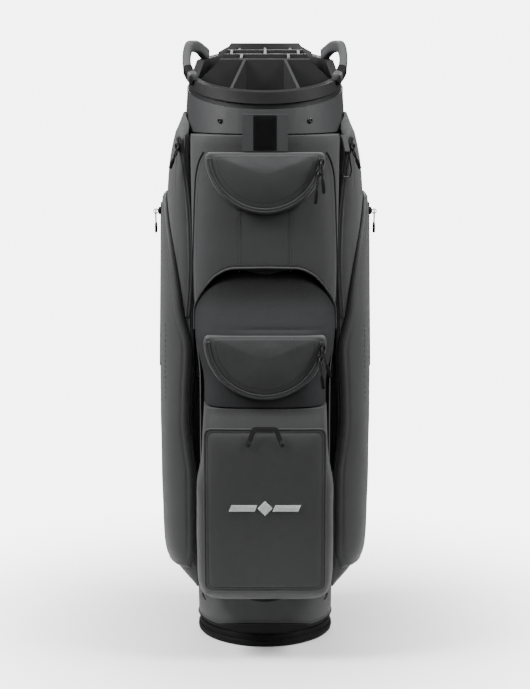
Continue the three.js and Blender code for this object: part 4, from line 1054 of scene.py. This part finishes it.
def curtains():
    """The full-length dividers: thin cloth stretched from the moulded top down to the base."""
    for label, y, half in zip(("front", "middle", "rear"), ROW_WALLS, CURTAIN_HALF_WIDTHS):
        low = 26.6
        high = float(rim_height(y)) - WEB_DEPTH - 1.6
        x = np.linspace(-half, half, 50)[None, :]
        z = np.linspace(low, high, 90)[:, None]
        sway = 1.6 * np.sin(z * 0.02 + x * 0.04) * np.sin((z - low) / (high - low) * math.pi)
        rings = np.stack([x + 0 * z, y + sway, z + 0 * x], axis=-1)
        cloth = lofted(f"curtain_cloth_{label}", rings, "lining", closed=False, caps=False,
                       stands_for=(f"divider_curtain_{label}",))


CAD_LOOKS = {"collar": "collar", "divider": "top", "base_cup": "base", "base_pad": "lining",
             "collar_screw_left": "metal", "collar_screw_right": "metal"}
BEVELS = {"collar": 1.6, "divider": 1.3, "base_cup": 0.8, "collar_screw_left": 0.4, "collar_screw_right": 0.4}


def smooth_group():
    """A modifier that shades a CAD node smooth, so that a bevel marks its hard edges."""
    group = bpy.data.node_groups.new("shade_smooth", "GeometryNodeTree")
    group.interface.new_socket("Geometry", in_out="INPUT", socket_type="NodeSocketGeometry")
    group.interface.new_socket("Geometry", in_out="OUTPUT", socket_type="NodeSocketGeometry")
    start, end = group.nodes.new("NodeGroupInput"), group.nodes.new("NodeGroupOutput")
    shade = group.nodes.new("GeometryNodeSetShadeSmooth")
    group.links.new(start.outputs[0], shade.inputs["Geometry"])
    group.links.new(shade.outputs[0], end.inputs[0])
    return group


def carried_over():
    """CAD nodes whose shape is right: each gets its finish, and its hard edges a small radius."""
    group = smooth_group()
    for name, piece in frame["nodes"].items():
        look, radius = CAD_LOOKS.get(name), BEVELS.get(name, 0.4)
        if name.endswith("_slider"):
            look = "metal"
        if name.startswith("stay_"):
            look = "aluminium"
        if not look:
            continue
        piece.data.materials.clear()
        piece.data.materials.append(LOOKS[look])
        weld = piece.modifiers.new("weld", "WELD")
        weld.merge_threshold = 0.00001
        piece.modifiers.new("smooth", "NODES").node_group = group
        bevel = piece.modifiers.new("edges", "BEVEL")
        bevel.width = radius * MM
        bevel.segments = 3
        bevel.limit_method = "ANGLE"
        bevel.angle_limit = math.radians(32)
        bevel.harden_normals = True
        weights = piece.modifiers.new("weights", "WEIGHTED_NORMAL")
        weights.weight = 90


# ---------------------------------------------------------------- stage, light and camera
def stage():
    """A pale floor that fades out into the white surround, so that no horizon shows."""
    mesh = bpy.data.meshes.new("floor")
    mesh.from_pydata([(-4, -4, 0), (4, -4, 0), (4, 4, 0), (-4, 4, 0)], [], [(0, 1, 2, 3)])
    floor = bpy.data.objects.new("floor", mesh)
    bpy.context.scene.collection.objects.link(floor)
    paint = bpy.data.materials.new("floor_paint")
    paint.use_nodes = True
    tree = paint.node_tree
    shader = tree.nodes["Principled BSDF"]
    shader.inputs["Base Color"].default_value = (0.92, 0.92, 0.92, 1)
    shader.inputs["Roughness"].default_value = 0.7
    place = node(tree, "ShaderNodeTexCoord").outputs["Object"]
    far = node(tree, "ShaderNodeVectorMath", {"operation": "LENGTH"}, i0=place).outputs["Value"]
    fade = remap(tree, far, 0.0, 1.0, attributes=SMOOTH_STEP, From_Min=0.14, From_Max=0.8)
    clear = node(tree, "ShaderNodeBsdfTransparent")
    mix = node(tree, "ShaderNodeMixShader", i0=fade, i1=shader.outputs[0], i2=clear.outputs[0])
    tree.links.new(mix.outputs[0], tree.nodes["Material Output"].inputs["Surface"])
    mesh.materials.append(paint)

    world = bpy.data.worlds.new("studio")
    bpy.context.scene.world = world
    world.use_nodes = True
    tree = world.node_tree
    tree.nodes.clear()
    seen = node(tree, "ShaderNodeLightPath").outputs["Is Camera Ray"]
    soft = node(tree, "ShaderNodeBackground", Color=(1, 1, 1, 1), Strength=0.16)
    white = node(tree, "ShaderNodeBackground", Color=(1, 1, 1, 1), Strength=6.0)
    mix = node(tree, "ShaderNodeMixShader", i0=seen, i1=soft.outputs[0], i2=white.outputs[0])
    node(tree, "ShaderNodeOutputWorld", Surface=mix.outputs[0])


def softbox(name, place, target, size, power):
    light = bpy.data.lights.new(name, "AREA")
    light.shape = "RECTANGLE"
    light.size, light.size_y = size
    light.energy = power
    lamp = bpy.data.objects.new(name, light)
    lamp.location = place
    lamp.rotation_euler = (Vector(target) - Vector(place)).to_track_quat("-Z", "Y").to_euler()
    bpy.context.scene.collection.objects.link(lamp)


def lights():
    softbox("top_box", (0, 0.1, 2.4), (0, 0, 0.7), (1.2, 1.2), 16)
    softbox("left_box", (-1.3, -0.45, 1.8), (0, 0, 1.0), (0.6, 0.8), 88)
    softbox("right_box", (1.3, -0.45, 1.8), (0, 0, 1.0), (0.6, 0.8), 66)
    softbox("front_box", (0, -1.5, 1.75), (0, 0, 1.0), (1.3, 0.7), 12)
    softbox("back_box", (0, 2.2, 1.6), (0, 0, 0.6), (1.4, 1.0), 30)


def camera():
    data = bpy.data.cameras.new("view")
    data.lens = 90.2
    data.shift_y = 0.007
    eye = bpy.data.objects.new("view", data)
    eye.location = (0, -2.7, 0.933)
    eye.rotation_euler = (math.radians(80), 0, 0)
    bpy.context.scene.collection.objects.link(eye)
    bpy.context.scene.camera = eye


foot()
tube()
front_panel()
d_pocket("upper_pocket_fabric", UPPER_D, "upper_pocket")
cooler_pocket()
ball_pocket()
ball_panel()
emblem()
for label, side in SIDES:
    side_pocket(label, side)
    side_pouch(label, side)
    gusset_strip(label, side)
    handle(label, side)
zips()
pulls()
grab_loop()
towel_holder()
spine_pad()
shoulder_strap()
glove_patch()
curtains()
carried_over()
stage()
lights()
camera()
